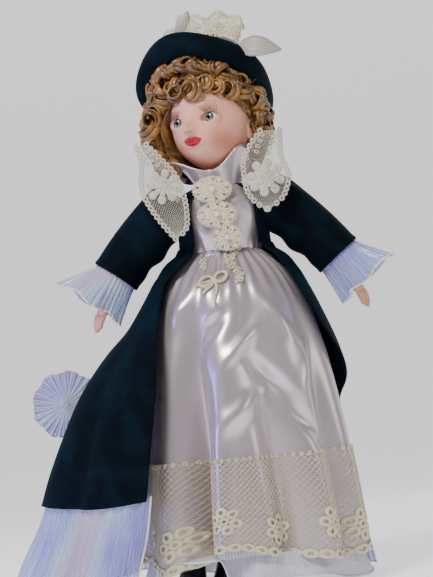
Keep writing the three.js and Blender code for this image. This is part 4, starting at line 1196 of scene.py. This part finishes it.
def head_at(direction):
    """The bisque surface in a direction out of the skull's middle, in the head's own millimetres."""
    x, y, z = (direction[i] * SKULL_HALF[i] for i in range(3))
    z += SKULL_MIDDLE
    x *= 1 - 0.05 * step(42, 14, z) + 0.05 * bump(z, 26, 11)
    if y > 0:
        return x, y * (1 - 0.35 * step(46, 12, z)), z
    front = step(0.0, 0.35, -direction[1])
    y -= face_forward(x, z) * front
    across, level = abs(x) - EYE_X, z - EYE_Z
    reach = across ** 2 + level ** 2
    lid = EYE_RADIUS + 0.95
    if reach < lid ** 2 and front > 0:
        over_eye = EYE_Y - math.sqrt(lid ** 2 - reach)
        share = min(1, max(0, 0.5 + 0.5 * (y - over_eye) / 1.3))
        y = mix(y, over_eye, share) - 1.3 * share * (1 - share) * 0.5
        crease = abs(level - 0.07 * across - arch(across, LID_HALF + 1.2, 5.9, 0.55))
        if level > 0:
            y += 0.35 * bump(crease, 0, 0.5)
        y += 5.0 * step(-0.1, 0.3, lid_gap(x, z))
    return x, y, z


bpy.ops.object.select_all(action="DESELECT")
bpy.ops.mesh.primitive_uv_sphere_add(segments=288, ring_count=200, radius=1)
head = bpy.context.object
head.name = "bisque_head"
for vertex in head.data.vertices:
    around = math.atan2(vertex.co.x, -vertex.co.y)
    height = math.asin(max(-1, min(1, vertex.co.z)))
    # Points are drawn in towards the face, where the carving is finest.
    around -= 0.45 * math.sin(around)
    height -= 0.22 * math.sin(2 * height) + 0.06 * math.cos(height) ** 2
    height = max(-math.pi / 2, min(math.pi / 2, height))
    direction = (math.cos(height) * math.sin(around), -math.cos(height) * math.cos(around),
                 math.sin(height))
    vertex.co = spot(*on_head(*head_at(direction)))
tidy(head)

ears = []
for side in (-1, 1):
    bpy.ops.object.select_all(action="DESELECT")
    bpy.ops.mesh.primitive_uv_sphere_add(segments=48, ring_count=32, radius=1)
    ear = bpy.context.object
    for vertex in ear.data.vertices:
        a, b, c = vertex.co
        hollow = 0.75 * bump(b, 0.1, 0.5) * bump(c, 0.15, 0.55) * step(0.1, 0.7, a * side)
        vertex.co = spot(*on_head(side * 30.0 + (a - hollow * side) * 3.6 + side * 1.2 * b,
                                  3 + 5.6 * b * (1 - 0.25 * (c < 0)), 40.5 + 8.6 * c))
    ears.append(ear)
neck = tube("neck", lambda t: on_head(0, 1.5 * t, mix(0.3, 24, t)),
            lambda t: line(((0, 2.8), (0.01, 13.5), (0.2, 12.2), (0.6, 10.8), (0.97, 12.5), (1, 0.5)), t),
            40, 40)
head = join(head, *ears, neck)
head.name = "bisque_head"


def painted_lips(point):
    p = off_head(point)
    if p.y > -18 or abs(p.x) > MOUTH_HALF - 0.1:
        return 0
    top, middle, bottom = lip_edges(p.x)
    return step(-0.15, 0.35, min(top - p.z, p.z - bottom))


def painted_blush(point):
    p = off_head(point)
    if p.y > 0:
        return 0.25 * bump(p.z, 36, 9) * step(26, 31, abs(p.x))
    # Her left cheek, on the side away from the key lamp, gets more blush than her right: partly the doll's
    # own blush and partly painted shade.
    cheek_blush_and_shade = (0.95 if p.x > 0 else 0.6) * bump(abs(p.x), 20.5, 9) * bump(p.z, 29, 9)
    return min(1, cheek_blush_and_shade + 0.3 * bump(p.x, 0, 9) * bump(p.z, 15, 7)
               + 0.25 * bump(abs(p.x), 14, 8) * bump(p.z, 54, 3.5))


def painted_shade(point):
    """Nostril dots, the dark line under the lashes, the parting of the lips and the eye corners."""
    p = off_head(point)
    if p.y > -15:
        return 0
    nostril = 0.9 * bump(math.hypot(abs(p.x) - 2.1, p.z - 38.0), 0, 0.85)
    in_eye = step(LID_HALF + 0.4, LID_HALF - 1, abs(abs(p.x) - EYE_X))
    lash_line = 0.8 * in_eye * bump(lid_gap(p.x, p.z), -0.15, 0.45) * step(-1, 1, p.z - EYE_Z)
    top, middle, bottom = lip_edges(p.x)
    parting = 0.5 * bump(p.z, middle, 0.35) * step(MOUTH_HALF - 0.2, MOUTH_HALF - 1.2, abs(p.x))
    return min(1, max(nostril, lash_line, parting))


def painted_brow(point):
    """Thin feathered strokes in an arch over each eye."""
    p = off_head(point)
    if p.y > -12:
        return 0
    across = abs(p.x) - 13
    if not -8.5 < across < 9.5:
        return 0
    height = 59.2 + 1.9 * (1 - ((across - 1) / 9) ** 2)
    strokes = 0.6 + 0.4 * math.sin(across * 5 + p.z * 4)
    return (0.75 * bump(p.z, height, 0.55 * (1 - 0.4 * abs(across) / 9)) * strokes
            * step(-8.5, -5, across) * step(9.5, 6, across))


paint(head, "lips", painted_lips)
paint(head, "blush", painted_blush)
paint(head, "shade", painted_shade)
paint(head, "brow", painted_brow)
fit(head, BISQUE, "bisque", "head", "porcelain_head")


# ---------------------------------------------------------------------------------------------
# The eyes and lashes. Blown glass eyes with a grey-green threaded iris under a clear dome, and
# strip lashes of stiff brown fibre glued along the upper lids, standing well up.
# ---------------------------------------------------------------------------------------------
GLASS_EYE, tree = blank("Blown_glass_eye")
# Clear glass over painted colour: a sharp small glint, white at the rim and dark at the pupil.
off_axis = node(tree, "Attribute", attribute_name="off_pupil")
spokes = node(tree, "Attribute", attribute_name="spokes")
threads = node(tree, "TexNoise",
               {"Vector": node(tree, "TexCoord").outputs["Object"], "Scale": 2200.0, "Detail": 3.0})
streaks = node(tree, "Math", {0: spokes.outputs["Fac"], 1: threads.outputs[0]}, operation="MULTIPLY")
iris = node(tree, "Mix",
            {0: streaks.outputs[0], 6: colour("#39473a"), 7: colour("#87967f")}, data_type="RGBA")
limbus = node(tree, "MapRange", {"Value": off_axis.outputs["Fac"], "From Min": 2.9, "From Max": 3.8})
ringed = node(tree, "Mix",
              {0: limbus.outputs[0], 6: iris.outputs[2], 7: colour("#2b3a3a")}, data_type="RGBA")
is_white = node(tree, "MapRange", {"Value": off_axis.outputs["Fac"], "From Min": 3.95, "From Max": 4.2})
with_white = node(tree, "Mix",
                  {0: is_white.outputs[0], 6: ringed.outputs[2], 7: colour("#f0eef0")}, data_type="RGBA")
is_pupil = node(tree, "MapRange", {"Value": off_axis.outputs["Fac"], "From Min": 1.85, "From Max": 1.6})
with_pupil = node(tree, "Mix", {0: is_pupil.outputs[0], 6: with_white.outputs[2], 7: colour("#0a0b0d")},
                  data_type="RGBA")
shader = node(tree, "BsdfPrincipled", {
    "Base Color": with_pupil.outputs[2], "Roughness": 0.08, "Specular IOR Level": 0.6,
    "Coat Weight": 1.0, "Coat Roughness": 0.03, "IOR": 1.5,
})
node(tree, "OutputMaterial", {"Surface": shader.outputs[0]})

LASH_FIBRE, tree = blank("Brown_lash_fibre")
# Stiff dyed nylon bristle: dark brown with a slight gloss along its length.
speck = node(tree, "TexNoise", {"Vector": node(tree, "TexCoord").outputs["Object"], "Scale": 700.0})
tint = node(tree, "Mix",
            {0: speck.outputs[0], 6: colour("#3f2a22"), 7: colour("#5e4336")}, data_type="RGBA")
shader = node(tree, "BsdfPrincipled", {"Base Color": tint.outputs[2], "Roughness": 0.4})
node(tree, "OutputMaterial", {"Surface": shader.outputs[0]})

GAZE = Vector((0.04, -1, 0.02)).normalized()
for side_name, side in (("right", -1), ("left", 1)):
    centre = Vector((side * EYE_X, EYE_Y, EYE_Z))
    bpy.ops.object.select_all(action="DESELECT")
    bpy.ops.mesh.primitive_uv_sphere_add(segments=96, ring_count=64, radius=1)
    eye = bpy.context.object
    eye.name = f"{side_name}_glass_eye"
    away, spoke = [], []
    for vertex in eye.data.vertices:
        out = vertex.co.normalized()
        aside = out - GAZE * out.dot(GAZE)
        reach = aside.length * EYE_RADIUS if out.dot(GAZE) > 0 else 2 * EYE_RADIUS
        away.append(reach)
        spoke.append(0.55 + 0.45 * math.cos(34 * math.atan2(aside.x, aside.z)))
        dome = 0.45 * step(4.6, 1.5, reach)
        vertex.co = spot(*on_head(*(centre + out * (EYE_RADIUS - 0.15 + dome))))
    for name, values in (("off_pupil", away), ("spokes", spoke)):
        layer = eye.data.attributes.new(name, "FLOAT", "POINT")
        layer.data.foreach_set("value", values)
    tidy(eye)
    fit(eye, GLASS_EYE, "eye_glass", "head", f"{side_name}_eye")

    lashes = []
    for i in range(14):
        share = i / 13
        across = mix(-LID_HALF + 0.4, LID_HALF + 0.3, share)
        level = arch(across * 0.98, LID_HALF + 0.6, 3.9, 0.55) + 0.07 * across
        root_y = EYE_Y - math.sqrt(max(1, (EYE_RADIUS + 1.0) ** 2 - across ** 2 - level ** 2))
        root = Vector((side * (EYE_X + across), root_y, EYE_Z + level))
        long = mix(5.2, 7.2, share) * (0.85 + 0.3 * ((i * 7) % 5) / 4)
        spread = Vector((side * (across * 0.09 + 0.12), -0.75, 0.95)).normalized()
        lashes.append(tube(
            f"lash_{i}",
            lambda t, root=root, long=long, spread=spread: on_head(
                *(root + spread * long * t + Vector((0, -0.9 * t, 1.6 * t * t)))),
            lambda t: mix(0.30, 0.10, t), 6, 4, (1, 0, 0)))
    strip = join(*lashes)
    strip.name = f"{side_name}_strip_lashes"
    fit(strip, LASH_FIBRE, "lash_hair", "head", f"{side_name}_eyelashes")


# ---------------------------------------------------------------------------------------------
# The wig. Golden-brown synthetic fibre wound on small rods and set in tight glossy ringlets over
# a net cap, with two rings of hair brought forward on the forehead.
# ---------------------------------------------------------------------------------------------
def hair(name, dark, middle, light):
    """Drawn nylon hair: long parallel fibres with a strong shine along them, gold over brown. The gold
    patches are partly painted highlight, and the dark between the fibres is painted shade.
    """
    made, tree = blank(name)
    place = node(tree, "TexCoord").outputs["Object"]
    uv = node(tree, "UVMap").outputs[0]
    # Fibres are 0.06 mm thick, which is too fine to show, so bundles of 0.4 mm are drawn.
    stretched = node(tree, "Mapping", {"Vector": uv, "Scale": (1, 0.04, 1)})
    fibres = node(tree, "TexNoise", {"Vector": stretched.outputs[0], "Scale": 2600.0, "Detail": 3.0})
    locks = node(tree, "TexNoise", {"Vector": place, "Scale": 85.0, "Detail": 2.0})
    # Where the fibre bump sinks, the colour goes dark: painted shade between the fibres.
    deep = node(tree, "MapRange", {"Value": fibres.outputs[0], "From Min": 0.36, "From Max": 0.62})
    tint = node(tree, "Mix", {0: deep.outputs[0], 6: colour(dark), 7: colour(middle)}, data_type="RGBA")
    # Lighter gold patches scattered by noise: partly the fibre's own golden tone and partly painted
    # highlight.
    gold_and_painted_highlight = node(tree, "MapRange", {"Value": locks.outputs[0], "From Min": 0.42, "From Max": 0.68})
    lit = node(tree, "Mix", {0: gold_and_painted_highlight.outputs[0], 6: tint.outputs[2], 7: colour(light)}, data_type="RGBA")
    ridges = node(tree, "Bump", {"Height": fibres.outputs[0], "Strength": 0.7, "Distance": 0.0004})
    shader = node(tree, "BsdfPrincipled", {
        "Base Color": lit.outputs[2], "Roughness": 0.34, "Anisotropic": 0.6, "Normal": ridges.outputs[0],
        "Specular IOR Level": 0.7, "Sheen Weight": 0.15, "Sheen Tint": colour("#d8b060"),
    })
    node(tree, "OutputMaterial", {"Surface": shader.outputs[0]})
    return made


GOLD_HAIR = hair("Golden_nylon_hair", "#33200f", "#71491f", "#a07434")
WIG_MIDDLE, WIG_HALF = Vector((-4, 2, 47)), Vector((51, 49, 46))
FACE_HOLE, FACE_HOLE_Z = 29.5, 41
HAT_MIDDLE = Vector((-8, 9, 74))
HAT_LEAN = math.radians(35)
HAT_UP = Vector((0, math.sin(HAT_LEAN), math.cos(HAT_LEAN)))
HAT_BACK = Vector((0, math.cos(HAT_LEAN), -math.sin(HAT_LEAN)))


def in_face(point, margin=0.0):
    """Whether a point of the wig would hang over the face, or over the ear bared on her left."""
    if point.x > 8 and point.y < 5 and 12 < point.z < 52 - 0.8 * point.y:
        return True
    if point.y > -6:
        return False
    return math.hypot(
        point.x * 1.02,
        (point.z - FACE_HOLE_Z) * (0.94 if point.z > FACE_HOLE_Z else 0.8)) < FACE_HOLE - margin


def under_hair_at(u, v):
    """The flat layer of hair under the curls, drawn back from round the face."""
    turn = u * 2 * math.pi
    slope = mix(0.02, 0.83 * math.pi, v)
    out = Vector((math.sin(slope) * math.sin(turn), math.sin(slope) * math.cos(turn), math.cos(slope)))
    point = Vector([WIG_MIDDLE[i] + out[i] * WIG_HALF[i] * 0.82 for i in range(3)])
    point += out * (0.7 * math.cos(turn * 60) + 0.8 * math.sin(turn * 23 + 5 * v))
    if point.x > 12 and point.z < 76:
        point.y = max(point.y, min(4, (49 - point.z) / 0.8))
        skull = 1 - (point.y / SKULL_HALF[1]) ** 2 - ((point.z - SKULL_MIDDLE) / SKULL_HALF[2]) ** 2
        point.x = max(min(point.x, 34.5), SKULL_HALF[0] * math.sqrt(max(0.1, skull)) + 1.6)
    if point.z < 34 and abs(point.x) < 27:
        point.y = max(point.y, 9)
    if point.y < 6:
        reach = math.hypot(point.x, (point.z - FACE_HOLE_Z))
        hole = FACE_HOLE - 1.0
        if reach < hole:
            share = (hole - reach) / hole
            outwards = Vector((point.x, 0, point.z - FACE_HOLE_Z)).normalized()
            point += outwards * (hole - reach) * 0.98
            point.y = mix(point.y, 2, min(1, share * 5))
    return on_head(*point)


under_hair = cloth("hair_under_layer", (300, 120), 220, 90, under_hair_at, closed=True, thick=1.2)

CURL_TURNS, CURL_STEPS, CURL_SIDES = 2.3, 42, 7


def curl_pattern(name, pitch, wide, thick):
    """One ringlet round a rod of unit radius, wound as a flat lock with tapered ends."""
    bpy.ops.object.select_all(action="DESELECT")
    bpy.ops.mesh.primitive_grid_add(x_subdivisions=CURL_SIDES, y_subdivisions=CURL_STEPS, size=1)
    piece = bpy.context.object
    piece.name = name
    for loop in piece.data.uv_layers[0].data:
        loop.uv = (loop.uv.x * 10 * MM, loop.uv.y * 90 * MM)
    for vertex in piece.data.vertices:
        round_lock = (vertex.co.x + 0.5) * 2 * math.pi
        t = 0.5 - vertex.co.y
        taper = min(1, 0.25 + 5 * t) * min(1, 0.08 + 6 * (1 - t))
        turn = t * CURL_TURNS * 2 * math.pi
        reach = 1 + 0.14 * math.sin(turn * 0.4) + thick * taper * math.cos(round_lock)
        along = (t - 0.5) * pitch * CURL_TURNS + wide * taper * math.sin(round_lock)
        vertex.co = Vector((reach * math.cos(turn), reach * math.sin(turn), along))
    tidy(piece, weld=0.01)
    return piece


curls = [curl_pattern("loose_curl", 0.62, 0.40, 0.17), curl_pattern("tight_curl", 0.48, 0.30, 0.20)]
PATTERNS += ["loose_curl", "tight_curl"]
luck = random.Random(11)


def curl_law(middle, axis, radius, start, hand_way):
    """Sets a ringlet of some radius round an axis through a point of the head's millimetres."""
    side = axis.orthogonal().normalized()
    over = axis.cross(side)

    def bend(x, y, z):
        a = x * math.cos(start) - y * math.sin(start)
        b = (x * math.sin(start) + y * math.cos(start)) * hand_way
        return on_head(*(middle + side * a * radius + over * b * radius + axis * z * radius))
    return bend


groups = {"front": [], "back": []}
CURL_COUNT = 400
for i in range(CURL_COUNT):
    height = 1 - 2 * (i + 0.5) / CURL_COUNT
    turn = i * math.pi * (3 - math.sqrt(5))
    flat = math.sqrt(1 - height ** 2)
    out = Vector((flat * math.cos(turn), flat * math.sin(turn), height))
    radius = luck.uniform(4.6, 7.4)
    aside = out.x * math.cos(HEAD_TURN) - out.y * math.sin(HEAD_TURN)
    depth = luck.uniform(-1.0, 2.4) - (1.5 if aside > 0 else 4.0) * aside
    middle = Vector([WIG_MIDDLE[k] + out[k] * (WIG_HALF[k] + depth - radius) for k in range(3)])
    if middle.z < 14 or in_face(middle, -radius * 0.55) or (middle - HAT_MIDDLE).dot(HAT_UP) > 4:
        continue
    if abs(middle.x) < 20 and middle.y < 12 and middle.z < 26:
        continue
    droop = Vector((0, 0, -1))
    around = out.cross(droop).normalized()
    axis = (around * luck.uniform(-1, 1) + out * luck.uniform(0.1, 0.9)
            + droop * luck.uniform(-0.5, 1.0)).normalized()
    law = curl_law(middle, axis, radius, luck.uniform(0, 6.3), luck.choice((-1, 1)))
    groups["front" if middle.y < 4 else "back"].append((law, i % 2))
# A crowded row of curls round the edge of the hat, so that no gap shows under its brim.
for i in range(46):
    angle = math.radians(-140 + i * 280 / 45)
    radius = luck.uniform(5.0, 7.0)
    middle = (HAT_MIDDLE + Vector((1, 0, 0)) * 41 * math.sin(angle) - HAT_BACK * 42 * math.cos(angle)
              - HAT_UP * luck.uniform(4.5, 9))
    out = (middle - WIG_MIDDLE).normalized()
    axis = (out * luck.uniform(0.2, 1) + Vector((luck.uniform(-1, 1), 0, luck.uniform(-1, 1)))).normalized()
    if not in_face(middle, 4):
        law = curl_law(middle, axis, radius, luck.uniform(0, 6.3), luck.choice((-1, 1)))
        groups["front" if middle.y < 4 else "back"].append((law, i % 2))
# The two rings on the forehead, and the curls that crowd over them.
for x, z, radius in ((-10.5, 71, 6.2), (4.5, 70.5, 7.4), (-3, 76, 5.5), (14, 75, 6.2),
                     (-19, 73, 5.8), (22, 71, 5.4)):
    y = -36.5 * math.sqrt(max(0.1, 1 - (x / 34) ** 2 - ((z - 52) / 40) ** 2)) - 4.5
    axis = Vector((0.25 * math.sin(x), -1, 0.2)).normalized()
    groups["front"].append((curl_law(Vector((x, y, z)), axis, radius, x, 1), 1))

for part_name, laws in groups.items():
    halves = [copies(f"{part_name}_curls_{kind}", curls[kind],
                     [law for law, which in laws if which == kind])
              for kind in (0, 1)]
    part = join(*halves)
    part.name = f"ringlets_{part_name}"
    bpy.ops.object.select_all(action="DESELECT")
    fit(part, GOLD_HAIR, "hair", "head", "wig_curls")
fit(under_hair, GOLD_HAIR, "hair", "head", "wig_cap")


def wisp(i):
    """One stray hair that has sprung out of the curls."""
    turn, height = luck.uniform(0, 2 * math.pi), luck.uniform(-0.5, 0.6)
    flat = math.sqrt(1 - height ** 2)
    out = Vector((flat * math.cos(turn), flat * math.sin(turn), height))
    root = Vector([WIG_MIDDLE[k] + out[k] * (WIG_HALF[k] - 3) for k in range(3)])
    if in_face(root, -6) or (root - HAT_MIDDLE).dot(HAT_UP) > 0:
        return None
    swing = Vector((luck.uniform(-1, 1), luck.uniform(-1, 1), luck.uniform(-1, 1))) * 5
    return tube(f"wisp_{i}", lambda t: on_head(*(root + out * 5.5 * math.sin(t * 2.6) + swing * t * t)),
                lambda t: 0.16, 14, 4)


wisps = [made for made in (wisp(i) for i in range(70)) if made]
stray = join(*wisps)
stray.name = "stray_hairs"
fit(stray, GOLD_HAIR, "hair", "head")


# ---------------------------------------------------------------------------------------------
# The hat. The same green velvet over a stiffened base: a round crown and a padded brim rolled up
# all round, trimmed in front with gathered lace and two organza leaves.
# ---------------------------------------------------------------------------------------------
def on_hat(radius, angle, height):
    """A point of the hat: angle 0 is over her face and grows towards her left."""
    return on_head(*(HAT_MIDDLE + Vector((1, 0, 0)) * radius * math.sin(angle)
                     - HAT_BACK * radius * math.cos(angle) + HAT_UP * height))


BRIM_REACH = ((0, 39.5), (0.12, 43), (0.28, 49.5), (0.42, 54.2), (0.55, 55.6), (0.68, 54.6), (0.78, 51.5),
              (0.86, 49.2), (0.93, 46.5), (1, 42))
BRIM_RISE = ((0, 0.5), (0.12, -3.0), (0.28, -3.6), (0.42, -0.5), (0.55, 6.5), (0.68, 13.5), (0.78, 16.8),
             (0.86, 14.0), (0.93, 8.0), (1, 4.5))


def brim_at(u, v):
    angle = u * 2 * math.pi - math.pi
    wave = step(0.1, 0.5, v) * step(1.05, 0.8, v)
    reach = line(BRIM_REACH, v) + wave * (1.3 * math.cos(angle * 2 + 0.4) + 0.9 * math.sin(angle * 5 + 1))
    rise = line(BRIM_RISE, v) + wave * (1.6 * math.sin(angle * 2 + 0.8) + 1.0 * math.sin(angle * 3))
    aslant = math.degrees(-angle)
    reach += wave * (4.5 * bump(aslant, -59, 45) - 3.5 * bump(aslant, 121, 50))
    rise -= wave * 4.0 * bump(aslant, -66, 34)
    reach += 0.35 * math.cos(angle * 34) * bump(v, 0.03, 0.06)
    return on_hat(reach, -angle, rise)


brim = cloth("velvet_hat_brim", (320, 52), 220, 48, brim_at, closed=True, thick=1.3)
fit(brim, GREEN_VELVET, "velvet", "head", "hat_brim")


def crown_at(u, v):
    angle = u * 2 * math.pi - math.pi
    reach = line(((0, 0.05), (0.2, 17), (0.4, 31), (0.5, 36.5), (0.6, 39.6), (0.75, 41), (1, 41)), v)
    rise = line(((0, 35.5), (0.2, 35.8), (0.4, 34.2), (0.5, 31.5), (0.6, 26), (0.75, 16), (1, -1)), v)
    soft = 1.1 * math.sin(angle * 3 + 6 * v) * step(0.1, 0.5, v)
    dent = 1.4 * math.sin(angle * 2 + 1) * step(0.6, 0.2, v) * step(0, 0.2, v)
    return on_hat(reach + soft, -angle, rise + dent)


crown = cloth("velvet_hat_crown", (260, 80), 140, 60, crown_at, closed=True, thick=1.3)
fit(crown, GREEN_VELVET, "velvet", "head", "hat_crown")

HAT_LACE = 88


def hat_lace_at(a, b, out=0.0):
    """Hat lace by a, millimetres round the crown from her right, and b down from its top edge."""
    share = a / HAT_LACE
    angle = mix(-1.08, 0.95, share)
    height = 45 - b + 3.0 * math.cos(share * 14 + 0.6)
    ruffle = 2.6 * math.sin(share * 2 * math.pi * 5.5 + 0.5) * step(34, 4, b)
    return on_hat(42.6 + 3.5 * step(34, 0, b) + ruffle + out, angle, height)


hat_net = net("hat_lace_net", 150, 34, 2.6, lambda u, v: hat_lace_at(u * HAT_LACE, v * 34), 0.42)
rings = []
for i, (a, b, reach) in enumerate(((8, 14, 8), (24, 18, 9.5), (46, 15, 12.5), (68, 17, 9.5),
                                   (82, 14, 7.5))):
    rings += flower((a, b), reach, 8, i * 0.5)
for i in range(30):
    rings.append((i * 3.03, 1.5, 2.0, 2.4, math.pi / 2))
    rings.append((i * 3.03, 32, 1.4, 1.7, 0.0))
for i in range(16):
    rings.append((i * 5.6 + 2, 5.5 + 2 * (i % 2), 1.3, 1.3, 0.0))
hat_lace = join(hat_net, worked("hat_lace_pads", hat_lace_at, rings, 0.7))
hat_lace.name = "hat_lace"
fit(hat_lace, CREAM_LACE, "lace", "head", "hat_lace_ruffle")

LEAF_ORGANZA = sheer("Fawn_leaf_organza", "#b9b6ab", "#a19c90", 0.86, 260, 0.35)


def leaf(name, root, tip, broad, lift, node_name):
    """An organza leaf from root to tip, with a rolled edge and a little cup along its middle."""
    root, tip = Vector(root), Vector(tip)
    ahead = tip - root
    aside = ahead.cross(Vector((0, -1, 0.15))).normalized()
    facing = aside.cross(ahead).normalized()
    if facing.y > 0:
        facing = -facing
        aside = -aside

    def place(u, v):
        across = (u - 0.5) * 2
        wide = broad * max(0.02, math.sin(math.pi * v ** 0.75)) ** 0.8
        curl = -2.2 * across ** 2 + lift * math.sin(v * 3.0) + 0.45 * math.sin(across * 16) * v
        return root + ahead * v + aside * wide * across + facing * curl
    made = cloth(name, (broad * 2, ahead.length), 24, 26, place, thick=0.45)
    fit(made, LEAF_ORGANZA, "organza", "head", node_name)


leaf("organza_leaf_left", (24, -25, 413), (57, -31, 406), 8.5, 5, "hat_loop_left")
leaf("organza_leaf_right", (-20, 5, 424), (-12, 0, 451), 7.0, 3, "hat_loop_right")


# ---------------------------------------------------------------------------------------------
# The boots. Black patent-look boots moulded in one over the porcelain feet, with a welt seam and
# a lacing ridge in front, and a separate flat sole.
# ---------------------------------------------------------------------------------------------
def patent(name, tint_low, tint_high, gloss):
    """Patent leather: dark leather under a clear lacquer skin, creased where it bends."""
    made, tree = blank(name)
    place = node(tree, "TexCoord").outputs["Object"]
    scuffs = node(tree, "TexNoise", {"Vector": place, "Scale": 130.0, "Detail": 4.0})
    creases = node(tree, "TexNoise", {"Vector": place, "Scale": 420.0, "Detail": 3.0, "Distortion": 1.2})
    tint = node(tree, "Mix",
                {0: scuffs.outputs[0], 6: colour(tint_low), 7: colour(tint_high)}, data_type="RGBA")
    rough = node(tree, "MapRange", {"Value": scuffs.outputs[0], "To Min": gloss, "To Max": gloss + 0.14})
    wrinkle = node(tree, "Bump", {"Height": creases.outputs[0], "Strength": 0.25, "Distance": 0.0003})
    shader = node(tree, "BsdfPrincipled", {
        "Base Color": tint.outputs[2], "Roughness": rough.outputs[0], "Normal": wrinkle.outputs[0],
        "Coat Weight": 0.6, "Coat Roughness": 0.08,
    })
    node(tree, "OutputMaterial", {"Surface": shader.outputs[0]})
    return made


PATENT = patent("Black_patent_leather", "#090a12", "#171a26", 0.18)
SOLE = patent("Pressed_sole_board", "#1a1512", "#2a221c", 0.5)

for side_name in ("right", "left"):
    middle = where(f"{side_name}_boot_sole")[0]
    x0 = middle.x - 0.4

    def foot_law(u, v, x0=x0, middle=middle):
        """Rings of the foot from the sole up, closing over the instep and into the shaft."""
        turn = u * 2 * math.pi - math.pi
        z = line(((0, 4.3), (0.12, 4.5), (0.3, 9), (0.5, 15.5), (0.7, 23), (1, 42)), v)
        wide = line(((0, 9), (0.12, 11.2), (0.3, 11.3), (0.5, 10.2), (0.7, 9.4), (1, 9.8)), v)
        toe = line(((0, -17), (0.12, -19.2), (0.3, -18.4), (0.5, -12), (0.7, -6.8), (1, -9.2)), v)
        heel = line(((0, 17), (0.12, 19.2), (0.3, 19.0), (0.5, 17.6), (0.7, 15.4), (1, 14.5)), v)
        centre = (toe + heel) / 2
        long = (heel - toe) / 2
        lean = x0 + max(0, z - 4) * LEG_LEAN
        ridge = 0.5 * bump(math.degrees(turn), 0, 14) * (1 + math.cos(v * 80)) * step(0.35, 0.5, v)
        point_y = -(long + ridge) * math.cos(turn)
        snug = 1 - 0.12 * max(0, math.cos(turn)) ** 2 * step(0.6, 0.2, v)
        return lean + wide * snug * math.sin(turn), middle.y + centre + point_y, z

    boot = cloth(f"{side_name}_patent_boot", (70, 55), 72, 60, foot_law, closed=True, thick=1.2)
    welt = tube(f"{side_name}_welt", lambda t: foot_law(t, 0.14), lambda t: 0.55, 72, 6, (0, 0, 1))
    boot = join(boot, welt)
    fit(boot, PATENT, "boot_leather", f"{side_name}_leg", f"{side_name}_boot")


# ---------------------------------------------------------------------------------------------
# What the clothes hide: the stuffed muslin trunk and limbs, the bisque shoulder plate and shins,
# the neck's wooden button, bolt and washer, the arm wires and the head's pate.
# ---------------------------------------------------------------------------------------------
def woven(name, light, shade, threads_per_metre):
    """Plain-woven cotton muslin: matt, with a visible over-and-under of its threads."""
    made, tree = blank(name)
    place = node(tree, "TexCoord").outputs["Object"]
    cloudy = node(tree, "TexNoise", {"Vector": place, "Scale": 40.0, "Detail": 3.0})
    tint = node(tree, "Mix", {0: cloudy.outputs[0], 6: colour(light), 7: colour(shade)}, data_type="RGBA")
    warp = node(tree, "TexWave", {"Vector": place, "Scale": threads_per_metre, "Distortion": 0.6},
                wave_type="BANDS", bands_direction="X")
    weft = node(tree, "TexWave", {"Vector": place, "Scale": threads_per_metre, "Distortion": 0.6},
                wave_type="BANDS", bands_direction="Z")
    cross = node(tree, "Math", {0: warp.outputs["Fac"], 1: weft.outputs["Fac"]}, operation="ADD")
    weave = node(tree, "Bump", {"Height": cross.outputs[0], "Strength": 0.4, "Distance": 0.0003})
    shader = node(tree, "BsdfPrincipled", {
        "Base Color": tint.outputs[2], "Roughness": 0.85, "Normal": weave.outputs[0], "Sheen Weight": 0.2,
    })
    node(tree, "OutputMaterial", {"Surface": shader.outputs[0]})
    return made


MUSLIN = woven("Stuffed_cotton_muslin", "#e4d9c4", "#d3c5ab", 260)

STEEL, tree = blank("Zinc_plated_steel")
# Bright zinc plate over mild steel: pale, a little blue, and brushed by handling.
drawn = node(tree, "TexNoise",
             {"Vector": node(tree, "TexCoord").outputs["Object"], "Scale": 900.0, "Detail": 3.0})
tint = node(tree, "Mix",
            {0: drawn.outputs[0], 6: colour("#b9bcc0"), 7: colour("#9a9da3")}, data_type="RGBA")
rough = node(tree, "MapRange", {"Value": drawn.outputs[0], "To Min": 0.25, "To Max": 0.42})
shader = node(tree, "BsdfPrincipled",
              {"Base Color": tint.outputs[2], "Roughness": rough.outputs[0], "Metallic": 1.0})
node(tree, "OutputMaterial", {"Surface": shader.outputs[0]})

BEECH, tree = blank("Turned_beech")
# Turned beech: pale, close grained, with short darker flecks and no varnish.
grain_place = node(tree, "Mapping",
                   {"Vector": node(tree, "TexCoord").outputs["Object"], "Scale": (1, 1, 0.12)})
grain = node(tree, "TexNoise", {"Vector": grain_place.outputs[0], "Scale": 1200.0, "Detail": 4.0})
tint = node(tree, "Mix",
            {0: grain.outputs[0], 6: colour("#d9b98a"), 7: colour("#b78f5e")}, data_type="RGBA")
shader = node(tree, "BsdfPrincipled", {"Base Color": tint.outputs[2], "Roughness": 0.6})
node(tree, "OutputMaterial", {"Surface": shader.outputs[0]})

KEPT = {
    "cloth_torso": MUSLIN, "shoulder_plate": BISQUE, "head_pate": BEECH,
    "neck_bolt": STEEL, "neck_washer": STEEL, "neck_button": BEECH,
}
for side_name in ("right", "left"):
    KEPT[f"{side_name}_upper_arm"] = MUSLIN
    KEPT[f"{side_name}_arm_wire"] = STEEL
    KEPT[f"{side_name}_thigh"] = MUSLIN
    KEPT[f"{side_name}_shin"] = BISQUE
    KEPT[f"{side_name}_boot_sole"] = SOLE
for name, material in KEPT.items():
    kept = frame["nodes"][name]
    kept.data.materials.clear()
    kept.data.materials.append(material)


# ---------------------------------------------------------------------------------------------
# The worked patterns are put away.
# ---------------------------------------------------------------------------------------------
for pattern in [piece for piece in bpy.data.objects if piece.name in PATTERNS]:
    bpy.data.objects.remove(pattern)
